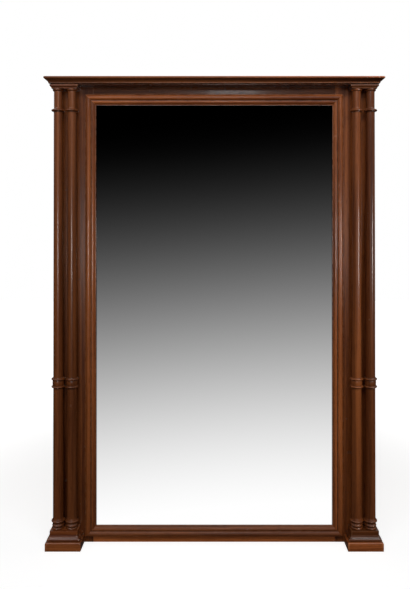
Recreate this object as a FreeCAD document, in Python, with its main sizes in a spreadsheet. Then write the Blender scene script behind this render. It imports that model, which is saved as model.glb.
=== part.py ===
import FreeCAD, Part
import os
import re
import Sketcher

# Overmantel mirror. X runs to the viewer's right, Y into the wall and Z up.
# The origin is the middle of the lower edge of the back, where the wall meets the mantel shelf.

SIZES = {
    # Opening and flat frame
    "sight_width": 886,
    "sight_height": 1574,
    "stile_margin": 111,
    "base_margin": 23,
    "frieze_margin": 27,
    # Mirror plate, the space behind it and its fixings
    "glass_thickness": 6,
    "glass_space": 18,
    "glass_edge_gap": 2,
    "moulding_lip": 10,
    "pad_length": 60,
    "block_length": 45,
    "block_foot": 12,
    "block_land": 3,
    "block_gap": 6,
    # Lapped boards in the back rebate
    "board_thickness": 9,
    "board_recess": 1,
    "board_edge_gap": 1,
    "board_gap": 1,
    "board_lap": 9,
    "rebate_width": 12,
    # Mortise and tenon joints
    "tenon_length": 60,
    "tenon_thickness": 12,
    "tenon_cover": 2,
    "tenon_shoulder": 10,
    "mortise_end_gap": 2,
    "peg_diameter": 9,
    "peg_end": 2,
    "peg_inset": 20,
    "peg_pitch": 22,
    # Sight moulding, from the plate outwards
    "sight_edge": 4,
    "sight_fillet_width": 2.5,
    "inner_bead_width": 13,
    "inner_bead_rise": 7,
    "inner_bead_bulge": 3,
    "quirk_width": 3,
    "quirk_depth": 3,
    "outer_bead_width": 18,
    "outer_bead_bulge": 5.6,
    "outer_fillet_width": 3.5,
    "outer_fillet_height": 5,
    # Columns
    "column_inset": 42,
    "column_spacing": 51,
    "column_clearance": 3.9,
    "shaft_foot_radius": 19,
    "shaft_top_radius": 16.2,
    "neck_radius": 15.6,
    "ring_gap": 0.9,
    "ring_bulge": 2.6,
    "ring_fillet_height": 2,
    "ring_fillet_step": 1.6,
    "foot_ring_step": 2.8,
    "foot_ring_height": 7,
    "foot_ring_space": 3,
    "foot_scotia_height": 9,
    "foot_scotia_bulge": 2.4,
    "foot_sweep_height": 7,
    "foot_sweep_bulge": 0.4,
    "annulet_rise": 519,
    "annulet_height": 6,
    "annulet_band_height": 22,
    "annulet_band_bulge": 1.2,
    "neck_drop": 82,
    "neck_ring_height": 7,
    "neck_sweep_height": 8,
    "neck_sweep_bulge": 1.4,
    "cap_ring_radius": 20,
    "cap_ring_height": 6,
    "cap_fillet_height": 2,
    "cap_ring_bulge": 1.8,
    "spigot_radius": 6,
    "spigot_length": 9,
    "spigot_end_gap": 1,
    # Plinth, from the shelf upwards
    "slab_height": 31,
    "slab_projection": 14,
    "slab_ovolo": 4,
    "slab_ovolo_bulge": 1.1,
    "notch_height": 3,
    "notch_depth": 3,
    "lip_projection": 9,
    "lip_height": 8,
    "lip_bulge": 2,
    "cavetto_height": 12,
    "cavetto_bulge": 2,
    "die_height": 14,
    "die_margin": 0.9,
    # Abacus
    "abacus_margin": 1,
    "abacus_fascia": 6.5,
    "abacus_cove_height": 7.5,
    "abacus_cove_depth": 5,
    "abacus_cove_bulge": 1.6,
    # Cornice, from the soffit upwards
    "cornice_root": 8,
    "cornice_projection": 4,
    "cornice_lift": 3.5,
    "cornice_fillet_height": 3.5,
    "cornice_cove_height": 10,
    "cornice_cove_width": 11.5,
    "cornice_cove_bulge": 1,
    "cornice_nose_height": 9,
    "cornice_nose_bulge": 2.5,
    # Strap hangers on the back of the stiles, in gaps between the backing strips
    "hanger_drop": 214,
    "hanger_inset": 64,
    "strap_width": 20,
    "strap_thickness": 1.6,
    "strap_length": 62,
    "strap_tip": 2,
    "wire_diameter": 4,
    "ring_side_gap": 1,
    "ring_drop": 30,
    "ring_corner": 5,
    "ring_rest_gap": 0.5,
    "loop_fit": 0.3,
    "hanger_side_gap": 5,
    "hanger_end_gap": 6,
    # Screws
    "board_screw_shank": 3.5,
    "board_screw_head": 7,
    "board_screw_length": 22,
    "strap_screw_shank": 4.5,
    "strap_screw_head": 8.5,
    "strap_screw_length": 20,
    "strap_screw_first": 14,
    "strap_screw_second": 40,
    "strap_screw_third": 54,
    "frame_screw_shank": 5,
    "frame_screw_head": 9.5,
    "frame_screw_bite": 30,
    "plinth_screw_spread": 33,
    "cornice_screw_inset": 19,
    "cornice_screw_pitch": 30,
    "cornice_screw_spread": 220,
    "abacus_screw_bite": 9,
    "slot_width": 1,
    "slot_depth": 1,
    # Clearance round anything that sits in a hole, and how far cuts run past what they cut
    "hole_fit": 0.1,
    "overrun": 5,
}

BOARD_COUNT = 5
BOARD_SCREW_SHARES = (0.15, 0.85)
SIDE_BLOCK_SHARES = (0.12, 0.37, 0.63, 0.88)
END_BLOCK_SHARES = (0.2, 0.5, 0.8)
PAD_SHARES = (0.25, 0.75)
SLAB_SCREW_SHARE = 0.5
CAP_SCREW_SHARE = 0.4

SIDES = {"left": -1, "right": 1}

doc = FreeCAD.newDocument("overmantel_mirror")
sheet = doc.addObject("Spreadsheet::Sheet", "Sizes")
for row, (alias, value) in enumerate(SIZES.items(), 1):
    sheet.set(f"A{row}", alias)
    sheet.set(f"B{row}", str(value))
    sheet.setAlias(f"B{row}", alias)
doc.recompute()

nodes = []


def bind(text):
    """The expression with every size written as a cell of the sheet."""
    return re.sub(r"[a-z_]+", lambda word: f"Sizes.{word[0]}" if word[0] in SIZES else word[0], text)


def amount(text):
    """The present value of an expression."""
    return float(sheet.evalExpression(bind(text)))


# Lengths that follow from the driving sizes, as expressions
BEADS_WIDTH = "(inner_bead_width + quirk_width + outer_bead_width)"
MOULDING_WIDTH = f"(sight_fillet_width + {BEADS_WIDTH} + outer_fillet_width)"
REBATE_DEPTH = "(board_thickness + board_recess)"
STILE_BACK = f"(-{REBATE_DEPTH})"
FRAME_DEPTH = f"(glass_thickness + glass_space + {REBATE_DEPTH})"
FACE = f"(-{FRAME_DEPTH})"
GLASS_BACK = f"({FACE} + glass_thickness)"

HALF_SIGHT = "(sight_width / 2)"
HALF_OPENING = f"({HALF_SIGHT} + moulding_lip)"
HALF_MOULDING = f"({HALF_SIGHT} + {MOULDING_WIDTH})"
HALF_FRAME = f"({HALF_MOULDING} + stile_margin)"
HALF_REBATE = f"({HALF_OPENING} + rebate_width)"

SIGHT_BOTTOM = f"(base_margin + {MOULDING_WIDTH})"
SIGHT_TOP = f"({SIGHT_BOTTOM} + sight_height)"
OPENING_BOTTOM = f"({SIGHT_BOTTOM} - moulding_lip)"
OPENING_TOP = f"({SIGHT_TOP} + moulding_lip)"
FRAME_TOP = f"({SIGHT_TOP} + {MOULDING_WIDTH} + frieze_margin)"

PAIR_CENTRE = f"({HALF_FRAME} - column_inset)"
RING_RADIUS = "(column_spacing / 2 - ring_gap)"
COLUMN_SETBACK = f"({RING_RADIUS} + column_clearance)"
CAP_HEIGHT = "(notch_height + lip_height + cavetto_height + die_height)"
PLINTH_HEIGHT = f"(slab_height + {CAP_HEIGHT})"
ABACUS_HEIGHT = "(abacus_cove_height + abacus_fascia)"
COLUMN_LENGTH = f"({FRAME_TOP} - {ABACUS_HEIGHT} - {PLINTH_HEIGHT})"
DIE_HALF_WIDTH = f"(column_spacing / 2 + {RING_RADIUS} + die_margin)"
DIE_FRONT = f"({COLUMN_SETBACK} + {RING_RADIUS} + die_margin)"
ABACUS_HALF_WIDTH = f"(column_spacing / 2 + {RING_RADIUS} + abacus_margin)"
ABACUS_FRONT = f"({COLUMN_SETBACK} + {RING_RADIUS} + abacus_margin)"

COVE_FOOT = "(cornice_lift + cornice_fillet_height)"
NOSE_FOOT = f"({COVE_FOOT} + cornice_cove_height)"
CORNICE_HEIGHT = f"({NOSE_FOOT} + cornice_nose_height)"
HALF_CORE = f"({PAIR_CENTRE} + {ABACUS_HALF_WIDTH} + cornice_projection - cornice_root)"
CORE_FRONT = f"({FACE} - {ABACUS_FRONT} - cornice_projection + cornice_root)"
CORNICE_REACH = "(cornice_root + cornice_cove_width + cornice_nose_bulge)"

LOOP_LIFT = "(strap_thickness + ring_rest_gap + wire_diameter / 2)"
LOOP_BORE = "(wire_diameter / 2 + loop_fit)"
LOOP_OUTER = f"({LOOP_BORE} + strap_thickness)"
RING_HALF_WIDTH = "(strap_width / 2 + ring_side_gap + ring_corner)"
HANGER_X = f"({HALF_FRAME} - hanger_inset)"
HANGER_Z = f"({FRAME_TOP} - hanger_drop)"
LATH_INNER = f"({HANGER_X} + {RING_HALF_WIDTH} + wire_diameter / 2 + hanger_side_gap)"
HANGER_GAP_BOTTOM = f"({HANGER_Z} - strap_length - hanger_end_gap)"
HANGER_GAP_TOP = f"({HANGER_Z} + ring_drop + wire_diameter / 2 + hanger_end_gap)"


def quarter(radius):
    """Bulge of an arc that turns a quarter circle."""
    return f"({radius}) * (1 - sqrt(0.5))"


def mirrored(side, low, high):
    """Limits along X, written for the right-hand side, on either side."""
    if side > 0:
        return low, high
    return f"-({high})", f"-({low})"


def keep(piece, label):
    """Mark a finished piece as a node of the part."""
    piece.Label = label
    nodes.append(piece)
    return piece


def place(piece, x, y, z):
    for axis, text in zip("xyz", (x, y, z)):
        piece.setExpression(f"Placement.Base.{axis}", bind(text))
    return piece


def box(name, x, y, z):
    """Block between a low and a high limit along each axis."""
    block = doc.addObject("Part::Box", name)
    for prop, (low, high) in zip(("Length", "Width", "Height"), (x, y, z)):
        block.setExpression(prop, bind(f"({high}) - ({low})"))
    return place(block, x[0], y[0], z[0])


def turned(kind, name, start, direction, **sizes):
    """Cylinder or cone that starts at a point and runs along a direction."""
    piece = doc.addObject(kind, name)
    piece.Placement = FreeCAD.Placement(
        FreeCAD.Vector(), FreeCAD.Rotation(FreeCAD.Vector(0, 0, 1), FreeCAD.Vector(*direction)))
    for prop, text in sizes.items():
        piece.setExpression(prop, bind(text))
    return place(piece, *start)


def joined(name, pieces):
    """Pieces that touch become one solid, the others stay apart."""
    group = doc.addObject("Part::MultiFuse", name)
    group.Shapes = pieces
    return group


def gathered(name, pieces):
    group = doc.addObject("Part::Compound", name)
    group.Links = pieces
    return group


def cut(name, base, *tools):
    result = doc.addObject("Part::Cut", name)
    result.Base = base
    result.Tool = tools[0] if len(tools) == 1 else gathered(f"{name}_tools", list(tools))
    return result


def new_sketch(body, name, plane):
    sketch = body.newObject("Sketcher::SketchObject", name)
    support = next(item for item in body.Origin.OriginFeatures if item.Role == plane)
    sketch.AttachmentSupport = [(support, "")]
    sketch.MapMode = "FlatFace"
    return sketch


def arc_between(start, end, bulge):
    """Arc through two points that swells to the right of the way along it, or to the left if negative."""
    chord = end - start
    left = FreeCAD.Vector(-chord.y, chord.x, 0).normalize()
    middle = start + chord * 0.5 - left * bulge
    first, last = (start, end) if bulge > 0 else (end, start)
    return Part.ArcOfCircle(first, middle, last)


def pinned(geometry, end, text, kind, axis):
    """Rule that ties one coordinate of a point to an expression."""
    if amount(text) == 0:
        return Sketcher.Constraint("PointOnObject", geometry, end, axis), ""
    return Sketcher.Constraint(kind, -1, 1, geometry, end, amount(text)), text


def draw(sketch, corners):
    """Closed outline, anticlockwise.

    Each corner is x, y and the bulge of the arc to the next corner, 0 if that side is straight.
    """
    count = len(corners)
    points = [FreeCAD.Vector(amount(x), amount(y), 0) for x, y, _ in corners]
    ends, rules = [], []
    for index, (x, y, bulge) in enumerate(corners):
        next_x, next_y, _ = corners[(index + 1) % count]
        start, end = points[index], points[(index + 1) % count]
        swell = amount(bulge)
        if swell == 0:
            geometry = sketch.addGeometry(Part.LineSegment(start, end), False)
        else:
            arc = arc_between(start, end, swell)
            geometry = sketch.addGeometry(arc, False)
            chord = f"((({next_x}) - ({x}))^2 + (({next_y}) - ({y}))^2)"
            radius = f"{chord} / (8 * abs({bulge})) + abs({bulge}) / 2"
            rules.append((Sketcher.Constraint("Radius", geometry, arc.Radius), radius))
        ends.append((geometry, 1, 2) if swell >= 0 else (geometry, 2, 1))
    for index, (geometry, start, end) in enumerate(ends):
        following, following_start, _ = ends[(index + 1) % count]
        rules.append((Sketcher.Constraint("Coincident", geometry, end, following, following_start), ""))
        rules.append(pinned(geometry, start, corners[index][0], "DistanceX", -2))
        rules.append(pinned(geometry, start, corners[index][1], "DistanceY", -1))
    tie(sketch, rules)


def tie(sketch, rules):
    """Add constraints, each with the expression that drives it."""
    numbers = sketch.addConstraint([rule for rule, _ in rules])
    for number, (_, text) in zip(numbers, rules):
        if text:
            sketch.setExpression(f"Constraints[{number}]", bind(text))


def padded(body, sketch, length, both_ways=False):
    pad = body.newObject("PartDesign::Pad", f"{body.Name}_pad")
    pad.Profile = sketch
    pad.setExpression("Length", bind(length))
    if both_ways:
        pad.SideType = "Symmetric"
    return pad


def pocketed(body, sketch):
    """Cut right through the body, both ways from the sketch."""
    pocket = body.newObject("PartDesign::Pocket", f"{body.Name}_pocket")
    pocket.Profile = sketch
    pocket.Type = "ThroughAll"
    pocket.SideType = "Symmetric"
    return pocket


def screws(label, shank, head, length, heads, direction, slot_along):
    """A group of slotted countersunk screws, and the holes that they sit in."""
    sink = f"(({head} - {shank}) / 2)"
    bodies, holes, slots = [], [], []
    for number, start in enumerate(heads):
        name = f"{label}_{number}"
        for kept, fit in ((bodies, "0"), (holes, "hole_fit")):
            kept.append(turned("Part::Cone", f"{name}_head", start, direction,
                               Radius1=f"{head} / 2 + {fit}", Radius2=f"{shank} / 2 + {fit}", Height=sink))
            kept.append(turned("Part::Cylinder", f"{name}_shank", start, direction,
                               Radius=f"{shank} / 2 + {fit}", Height=f"{length} + {fit}"))
        limits = []
        for axis in range(3):
            half = f"{head} / 2" if axis == slot_along else "slot_width / 2"
            if direction[axis]:
                half = "slot_depth"
            limits.append((f"{start[axis]} - {half}", f"{start[axis]} + {half}"))
        slots.append(box(f"{name}_slot", *limits))
    solid = joined(f"{label}_solids", bodies)
    keep(cut(label, solid, gathered(f"{label}_slots", slots)), label)
    return joined(f"{label}_holes", holes)


def moulded_block(name, half_width, front, profile, x, z):
    """Block against the frame with the same profile on its front and both ends.

    The profile is a list of projection, height and bulge from the foot upwards.
    """
    low = profile[0][1]
    high = profile[-1][1]
    downwards = []
    for index in range(len(profile) - 1, -1, -1):
        bulge = profile[index - 1][2] if index else "0"
        downwards.append((profile[index][0], profile[index][1], bulge))

    front_body = place(doc.addObject("PartDesign::Body", f"{name}_front"), x, "0", z)
    sketch = new_sketch(front_body, f"{name}_front_profile", "YZ_Plane")
    corners = [(FACE, low, "0"), (FACE, high, "0")]
    corners += [(f"{FACE} - {front} - ({out})", height, bulge) for out, height, bulge in downwards]
    draw(sketch, corners)
    reach = f"2 * ({half_width} + slab_projection + overrun)"
    padded(front_body, sketch, reach, both_ways=True)

    end_body = place(doc.addObject("PartDesign::Body", f"{name}_ends"), x, "0", z)
    sketch = new_sketch(end_body, f"{name}_end_profile", "XZ_Plane")
    corners = [(f"{half_width} + ({out})", height, bulge) for out, height, bulge in profile]
    corners += [(f"-({half_width} + ({out}))", height, bulge) for out, height, bulge in downwards]
    draw(sketch, corners)
    padded(end_body, sketch, f"{FRAME_DEPTH} + {front} + slab_projection + overrun")

    block = doc.addObject("Part::Common", name)
    block.Base = front_body
    block.Tool = end_body
    return block


def spigot_holes(name, x, z, direction):
    """Holes for the spigots of one pair of columns."""
    holes = []
    for number, offset in enumerate(("-column_spacing / 2", "column_spacing / 2")):
        holes.append(turned("Part::Cylinder", f"{name}_{number}",
                            (f"{x} + {offset}", f"{FACE} - {COLUMN_SETBACK}", z), direction,
                            Radius="spigot_radius + hole_fit", Height="spigot_length + spigot_end_gap"))
    return joined(name, holes)


def plinth_screw_places():
    places = []
    for side in SIDES.values():
        for offset in ("-plinth_screw_spread", "plinth_screw_spread"):
            x = f"{side} * {PAIR_CENTRE} + {offset}"
            places.append((x, "0", f"slab_height * {SLAB_SCREW_SHARE}"))
            places.append((x, "0", f"slab_height + {CAP_HEIGHT} * {CAP_SCREW_SHARE}"))
    return places


def cornice_screw_places():
    top = f"{FRAME_TOP} + {CORNICE_HEIGHT}"
    middle = f"{FACE} / 2"
    places = []
    for side in SIDES.values():
        outer = f"{side} * ({HALF_FRAME} - cornice_screw_inset)"
        places.append((outer, middle, top))
        places.append((f"{outer} - {side} * cornice_screw_pitch", middle, top))
        places.append((f"{side} * cornice_screw_spread", middle, top))
    return places


def abacus_screw_places():
    top = f"{FRAME_TOP} + {CORNICE_HEIGHT}"
    return [(f"{side} * {PAIR_CENTRE}", f"{FACE} - {COLUMN_SETBACK}", top) for side in SIDES.values()]


BOARDS_BOTTOM = f"({OPENING_BOTTOM} - rebate_width + board_edge_gap)"
BOARDS_TOP = f"({OPENING_TOP} + rebate_width - board_edge_gap)"
BOARD_PITCH = f"(({BOARDS_TOP} - {BOARDS_BOTTOM}) / {BOARD_COUNT})"


def board_level(number):
    return f"({BOARDS_BOTTOM} + {number} * {BOARD_PITCH})"


def board_screw_places():
    places = []
    for side in SIDES.values():
        for number in range(BOARD_COUNT):
            for share in BOARD_SCREW_SHARES:
                z = f"{board_level(number)} + {share} * {BOARD_PITCH}"
                places.append((f"{side} * ({HALF_OPENING} + rebate_width / 2)", "-board_recess", z))
    return places


def strap_screw_places():
    places = []
    for side in SIDES.values():
        for drop in ("strap_screw_first", "strap_screw_second", "strap_screw_third"):
            places.append((f"{side} * {HANGER_X}", f"{STILE_BACK} + strap_thickness",
                           f"{HANGER_Z} - {drop}"))
    return places


TO_FRONT = (0, -1, 0)
DOWN = (0, 0, -1)
UP = (0, 0, 1)
ALONG_X = (1, 0, 0)
X_AXIS = 0
Z_AXIS = 2

plinth_screw_holes = screws("plinth_screws", "frame_screw_shank", "frame_screw_head",
                            f"({FRAME_DEPTH} + frame_screw_bite)", plinth_screw_places(), TO_FRONT, X_AXIS)
cornice_screw_holes = screws("cornice_screws", "frame_screw_shank", "frame_screw_head",
                             f"({CORNICE_HEIGHT} + frame_screw_bite)", cornice_screw_places(), DOWN, X_AXIS)
abacus_screw_holes = screws("abacus_screws", "frame_screw_shank", "frame_screw_head",
                            f"({CORNICE_HEIGHT} + abacus_screw_bite)", abacus_screw_places(), DOWN, X_AXIS)
board_screw_holes = screws("back_board_screws", "board_screw_shank", "board_screw_head",
                           "board_screw_length", board_screw_places(), TO_FRONT, Z_AXIS)
strap_screw_holes = screws("hanger_screws", "strap_screw_shank", "strap_screw_head",
                           "strap_screw_length", strap_screw_places(), TO_FRONT, X_AXIS)

# Pegs through the tenons, flush with the back of the frame
TENON_BACK = f"({STILE_BACK} - tenon_cover)"
TENON_FRONT = f"({TENON_BACK} - tenon_thickness)"
TENON_LEVELS = {
    "bottom": ("tenon_shoulder", f"{OPENING_BOTTOM} - tenon_shoulder"),
    "top": (f"{OPENING_TOP} + tenon_shoulder", f"{FRAME_TOP} - tenon_shoulder"),
}

pegs, peg_holes = [], []
for rail, (low, high) in TENON_LEVELS.items():
    for hand, side in SIDES.items():
        for number in range(2):
            x = f"{side} * ({HALF_OPENING} + peg_inset + {number} * peg_pitch)"
            start = (x, "0", f"(({low}) + ({high})) / 2")
            name = f"peg_{rail}_{hand}_{number}"
            length = f"-{TENON_FRONT} + peg_end"
            pegs.append(turned("Part::Cylinder", name, start, TO_FRONT,
                               Radius="peg_diameter / 2", Height=length))
            peg_holes.append(turned("Part::Cylinder", f"{name}_hole", start, TO_FRONT,
                                    Radius="peg_diameter / 2 + hole_fit", Height=length))
keep(gathered("joint_pegs", pegs), "joint_pegs")
all_peg_holes = gathered("peg_holes", peg_holes)

# Stiles, with mortises for the rails. Behind each one a lath and two strips form the back rebate and
# leave a gap for the hanger.
for hand, side in SIDES.items():
    blank = box(f"{hand}_stile_blank", mirrored(side, HALF_OPENING, HALF_FRAME), (FACE, STILE_BACK),
                ("0", FRAME_TOP))
    mortise_end = f"{HALF_OPENING} + tenon_length + mortise_end_gap"
    reach = mirrored(side, f"{HALF_OPENING} - overrun", mortise_end)
    mortises = []
    for rail, levels in TENON_LEVELS.items():
        mortises.append(box(f"{hand}_{rail}_mortise", reach, (TENON_FRONT, TENON_BACK), levels))
    keep(cut(f"{hand}_stile", blank, *mortises, all_peg_holes, plinth_screw_holes, cornice_screw_holes,
             board_screw_holes, strap_screw_holes), f"{hand}_stile")

    behind = (STILE_BACK, "0")
    lath = box(f"{hand}_lath_blank", mirrored(side, LATH_INNER, HALF_FRAME), behind, ("0", FRAME_TOP))
    keep(cut(f"{hand}_backing_lath", lath, plinth_screw_holes), f"{hand}_backing_lath")
    for where, levels in (("lower", ("0", HANGER_GAP_BOTTOM)), ("upper", (HANGER_GAP_TOP, FRAME_TOP))):
        label = f"{hand}_backing_{where}"
        strip = box(f"{label}_blank", mirrored(side, HALF_REBATE, LATH_INNER), behind, levels)
        keep(cut(label, strip, all_peg_holes, plinth_screw_holes), label)

# Rails, with a tenon at each end, a longer shoulder behind it and the back rebate along the opening
RAIL_LEVELS = {"bottom": ("0", OPENING_BOTTOM), "top": (OPENING_TOP, FRAME_TOP)}
RAIL_REBATES = {
    "bottom": (f"{OPENING_BOTTOM} - rebate_width", f"{OPENING_BOTTOM} + overrun"),
    "top": (f"{OPENING_TOP} - overrun", f"{OPENING_TOP} + rebate_width"),
}
for rail, levels in RAIL_LEVELS.items():
    half_length = f"({HALF_OPENING} + tenon_length)"
    blank = joined(f"{rail}_rail_blank", [
        box(f"{rail}_rail_board", (f"-{HALF_OPENING}", HALF_OPENING), (FACE, STILE_BACK), levels),
        box(f"{rail}_rail_shoulders", (f"-{HALF_REBATE}", HALF_REBATE), (STILE_BACK, "0"), levels),
        box(f"{rail}_rail_tenons", (f"-{half_length}", half_length), (TENON_FRONT, TENON_BACK),
            TENON_LEVELS[rail])])
    rebate = box(f"{rail}_rail_rebate", (f"-{HALF_REBATE} - overrun", f"{HALF_REBATE} + overrun"),
                 (STILE_BACK, "overrun"), RAIL_REBATES[rail])
    keep(cut(f"{rail}_rail", blank, rebate, all_peg_holes, cornice_screw_holes, plinth_screw_holes),
         f"{rail}_rail")

# Sight moulding: distance from the plate's edge, height off the frame and bulge to the next point
BEAD_TOP = "(sight_edge + inner_bead_rise)"
QUIRK_START = "(sight_fillet_width + inner_bead_width)"
QUIRK_END = f"({QUIRK_START} + quirk_width)"
OUTER_BEAD_END = f"({QUIRK_END} + outer_bead_width)"
SIGHT_PROFILE = [
    ("0", "0", "0"),
    ("0", "sight_edge", "0"),
    ("sight_fillet_width", "sight_edge", "inner_bead_bulge"),
    (QUIRK_START, BEAD_TOP, "0"),
    (QUIRK_START, f"{BEAD_TOP} - quirk_depth", "0"),
    (QUIRK_END, f"{BEAD_TOP} - quirk_depth", "0"),
    (QUIRK_END, BEAD_TOP, "outer_bead_bulge"),
    (OUTER_BEAD_END, BEAD_TOP, "0"),
    (OUTER_BEAD_END, "outer_fillet_height", "0"),
    (MOULDING_WIDTH, "outer_fillet_height", "0"),
    (MOULDING_WIDTH, "0", "0"),
]


def anticlockwise(corners):
    """The same outline run the other way when a mirror image has turned it over."""
    points = [(amount(x), amount(y)) for x, y, _ in corners]
    area = sum(a[0] * b[1] - b[0] * a[1] for a, b in zip(points, points[1:] + points[:1]))
    if area > 0:
        return corners
    count = len(corners)
    return [(*corners[-index][:2], corners[(-index - 1) % count][2]) for index in range(count)]


def sight_piece(label, across, level, plane, length, mitres):
    """One length of the sight moulding. Across gives the distance from the plate as a coordinate."""
    body = doc.addObject("PartDesign::Body", label)
    sketch = new_sketch(body, f"{label}_profile", plane)
    if plane == "YZ_Plane":
        corners = [(f"{FACE} - ({off})", across(out), bulge) for out, off, bulge in SIGHT_PROFILE]
    else:
        corners = [(across(out), f"{FACE} - ({off})", bulge) for out, off, bulge in SIGHT_PROFILE]
    draw(sketch, anticlockwise(corners))
    if level:
        sketch.setExpression("AttachmentOffset.Base.z", bind(level))
    padded(body, sketch, length, both_ways=True)
    ends = new_sketch(body, f"{label}_mitres", "XZ_Plane")
    for corners in mitres:
        draw(ends, corners)
    pocketed(body, ends)
    return keep(body, label)


def sight_mitres(inner_z, outer_z, step):
    """The waste at both ends of a level length of the sight moulding."""
    waste = []
    for side in (-1, 1):
        waste.append(anticlockwise([
            (f"{side} * ({HALF_SIGHT} - overrun)", f"{inner_z} - {step} * overrun", "0"),
            (f"{side} * ({HALF_MOULDING} + overrun)", f"{outer_z} + {step} * overrun", "0"),
            (f"{side} * ({HALF_MOULDING} + overrun)", f"{inner_z} - {step} * overrun", "0")]))
    return waste


def upright_mitres(side):
    """The waste at both ends of an upright length of the sight moulding."""
    waste = []
    for inner_z, outer_z, step in ((SIGHT_BOTTOM, "base_margin", -1),
                                   (SIGHT_TOP, f"({SIGHT_TOP} + {MOULDING_WIDTH})", 1)):
        waste.append(anticlockwise([
            (f"{side} * ({HALF_SIGHT} - overrun)", f"{inner_z} - {step} * overrun", "0"),
            (f"{side} * ({HALF_MOULDING} + overrun)", f"{outer_z} + {step} * overrun", "0"),
            (f"{side} * ({HALF_SIGHT} - overrun)", f"{outer_z} + {step} * overrun", "0")]))
    return waste


sight_piece("sight_moulding_bottom", lambda out: f"{SIGHT_BOTTOM} - ({out})", "", "YZ_Plane",
            f"2 * {HALF_MOULDING}", sight_mitres(SIGHT_BOTTOM, "base_margin", -1))
sight_piece("sight_moulding_top", lambda out: f"{SIGHT_TOP} + ({out})", "", "YZ_Plane",
            f"2 * {HALF_MOULDING}", sight_mitres(SIGHT_TOP, f"({SIGHT_TOP} + {MOULDING_WIDTH})", 1))
for hand, side in SIDES.items():
    sight_piece(f"sight_moulding_{hand}", lambda out: f"{side} * ({HALF_SIGHT} + {out})",
                f"({SIGHT_BOTTOM} + {SIGHT_TOP}) / 2", "XY_Plane", f"sight_height + 2 * {MOULDING_WIDTH}",
                upright_mitres(side))

# Mirror plate in the opening, on two pads
GLASS_HALF_WIDTH = f"({HALF_OPENING} - glass_edge_gap)"
keep(box("mirror_plate", (f"-{GLASS_HALF_WIDTH}", GLASS_HALF_WIDTH), (FACE, GLASS_BACK),
         (f"{OPENING_BOTTOM} + glass_edge_gap", f"{OPENING_TOP} - glass_edge_gap")), "mirror_plate")

pads = []
for number, share in enumerate(PAD_SHARES):
    centre = f"-{GLASS_HALF_WIDTH} + 2 * {share} * {GLASS_HALF_WIDTH}"
    pads.append(box(f"pad_{number}", (f"{centre} - pad_length / 2", f"{centre} + pad_length / 2"),
                    (FACE, GLASS_BACK), (OPENING_BOTTOM, f"{OPENING_BOTTOM} + glass_edge_gap")))
keep(gathered("setting_pads", pads), "setting_pads")

# Blocks with one sloping face, glued round the plate
BLOCK_BACK = f"({GLASS_BACK} + glass_space - block_gap)"


def glazing_block(name, x, z, back_x, back_z):
    """Block between the plate and its narrower back, each given by limits along X and Z."""
    block = doc.addObject("Part::Wedge", name)
    limits = {"Xmin": x[0], "Xmax": x[1], "Zmin": z[0], "Zmax": z[1],
              "X2min": back_x[0], "X2max": back_x[1], "Z2min": back_z[0], "Z2max": back_z[1],
              "Ymin": GLASS_BACK, "Ymax": BLOCK_BACK}
    for prop, text in limits.items():
        block.setExpression(prop, bind(text))
    return block


blocks = []
for hand, side in SIDES.items():
    for number, share in enumerate(SIDE_BLOCK_SHARES):
        centre = f"({OPENING_BOTTOM} + {share} * ({OPENING_TOP} - {OPENING_BOTTOM}))"
        along = (f"{centre} - block_length / 2", f"{centre} + block_length / 2")
        blocks.append(glazing_block(
            f"block_{hand}_{number}", mirrored(side, f"{HALF_OPENING} - block_foot", HALF_OPENING), along,
            mirrored(side, f"{HALF_OPENING} - block_land", HALF_OPENING), along))
for number, share in enumerate(END_BLOCK_SHARES):
    centre = f"(-{HALF_OPENING} + 2 * {share} * {HALF_OPENING})"
    along = (f"{centre} - block_length / 2", f"{centre} + block_length / 2")
    blocks.append(glazing_block(
        f"block_bottom_{number}", along, (OPENING_BOTTOM, f"{OPENING_BOTTOM} + block_foot"),
        along, (OPENING_BOTTOM, f"{OPENING_BOTTOM} + block_land")))
    blocks.append(glazing_block(
        f"block_top_{number}", along, (f"{OPENING_TOP} - block_foot", OPENING_TOP),
        along, (f"{OPENING_TOP} - block_land", OPENING_TOP)))
keep(gathered("glazing_blocks", blocks), "glazing_blocks")

# Back boards, each lapped over the one below
BOARD_HALF_WIDTH = f"({HALF_REBATE} - board_edge_gap)"
BOARD_MIDDLE = f"({STILE_BACK} + board_thickness / 2)"
for number in range(BOARD_COUNT):
    label = f"back_board_{number + 1}"
    low = board_level(number)
    high = board_level(number + 1)
    across = (f"-{BOARD_HALF_WIDTH}", BOARD_HALF_WIDTH)
    past = (f"-{BOARD_HALF_WIDTH} - overrun", f"{BOARD_HALF_WIDTH} + overrun")
    laps = []
    bottom = low
    top = high
    if number > 0:
        bottom = f"({low} - board_lap)"
        laps.append(box(f"{label}_lower_lap", past, (f"{STILE_BACK} - overrun", BOARD_MIDDLE),
                        (f"{bottom} - overrun", low)))
    if number < BOARD_COUNT - 1:
        top = f"({high} - board_gap)"
        laps.append(box(f"{label}_upper_lap", past, (BOARD_MIDDLE, "overrun"),
                        (f"{top} - board_lap", f"{top} + overrun")))
    board = box(f"{label}_blank", across, (STILE_BACK, "-board_recess"), (bottom, top))
    keep(cut(label, board, *laps, board_screw_holes), label)

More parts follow.
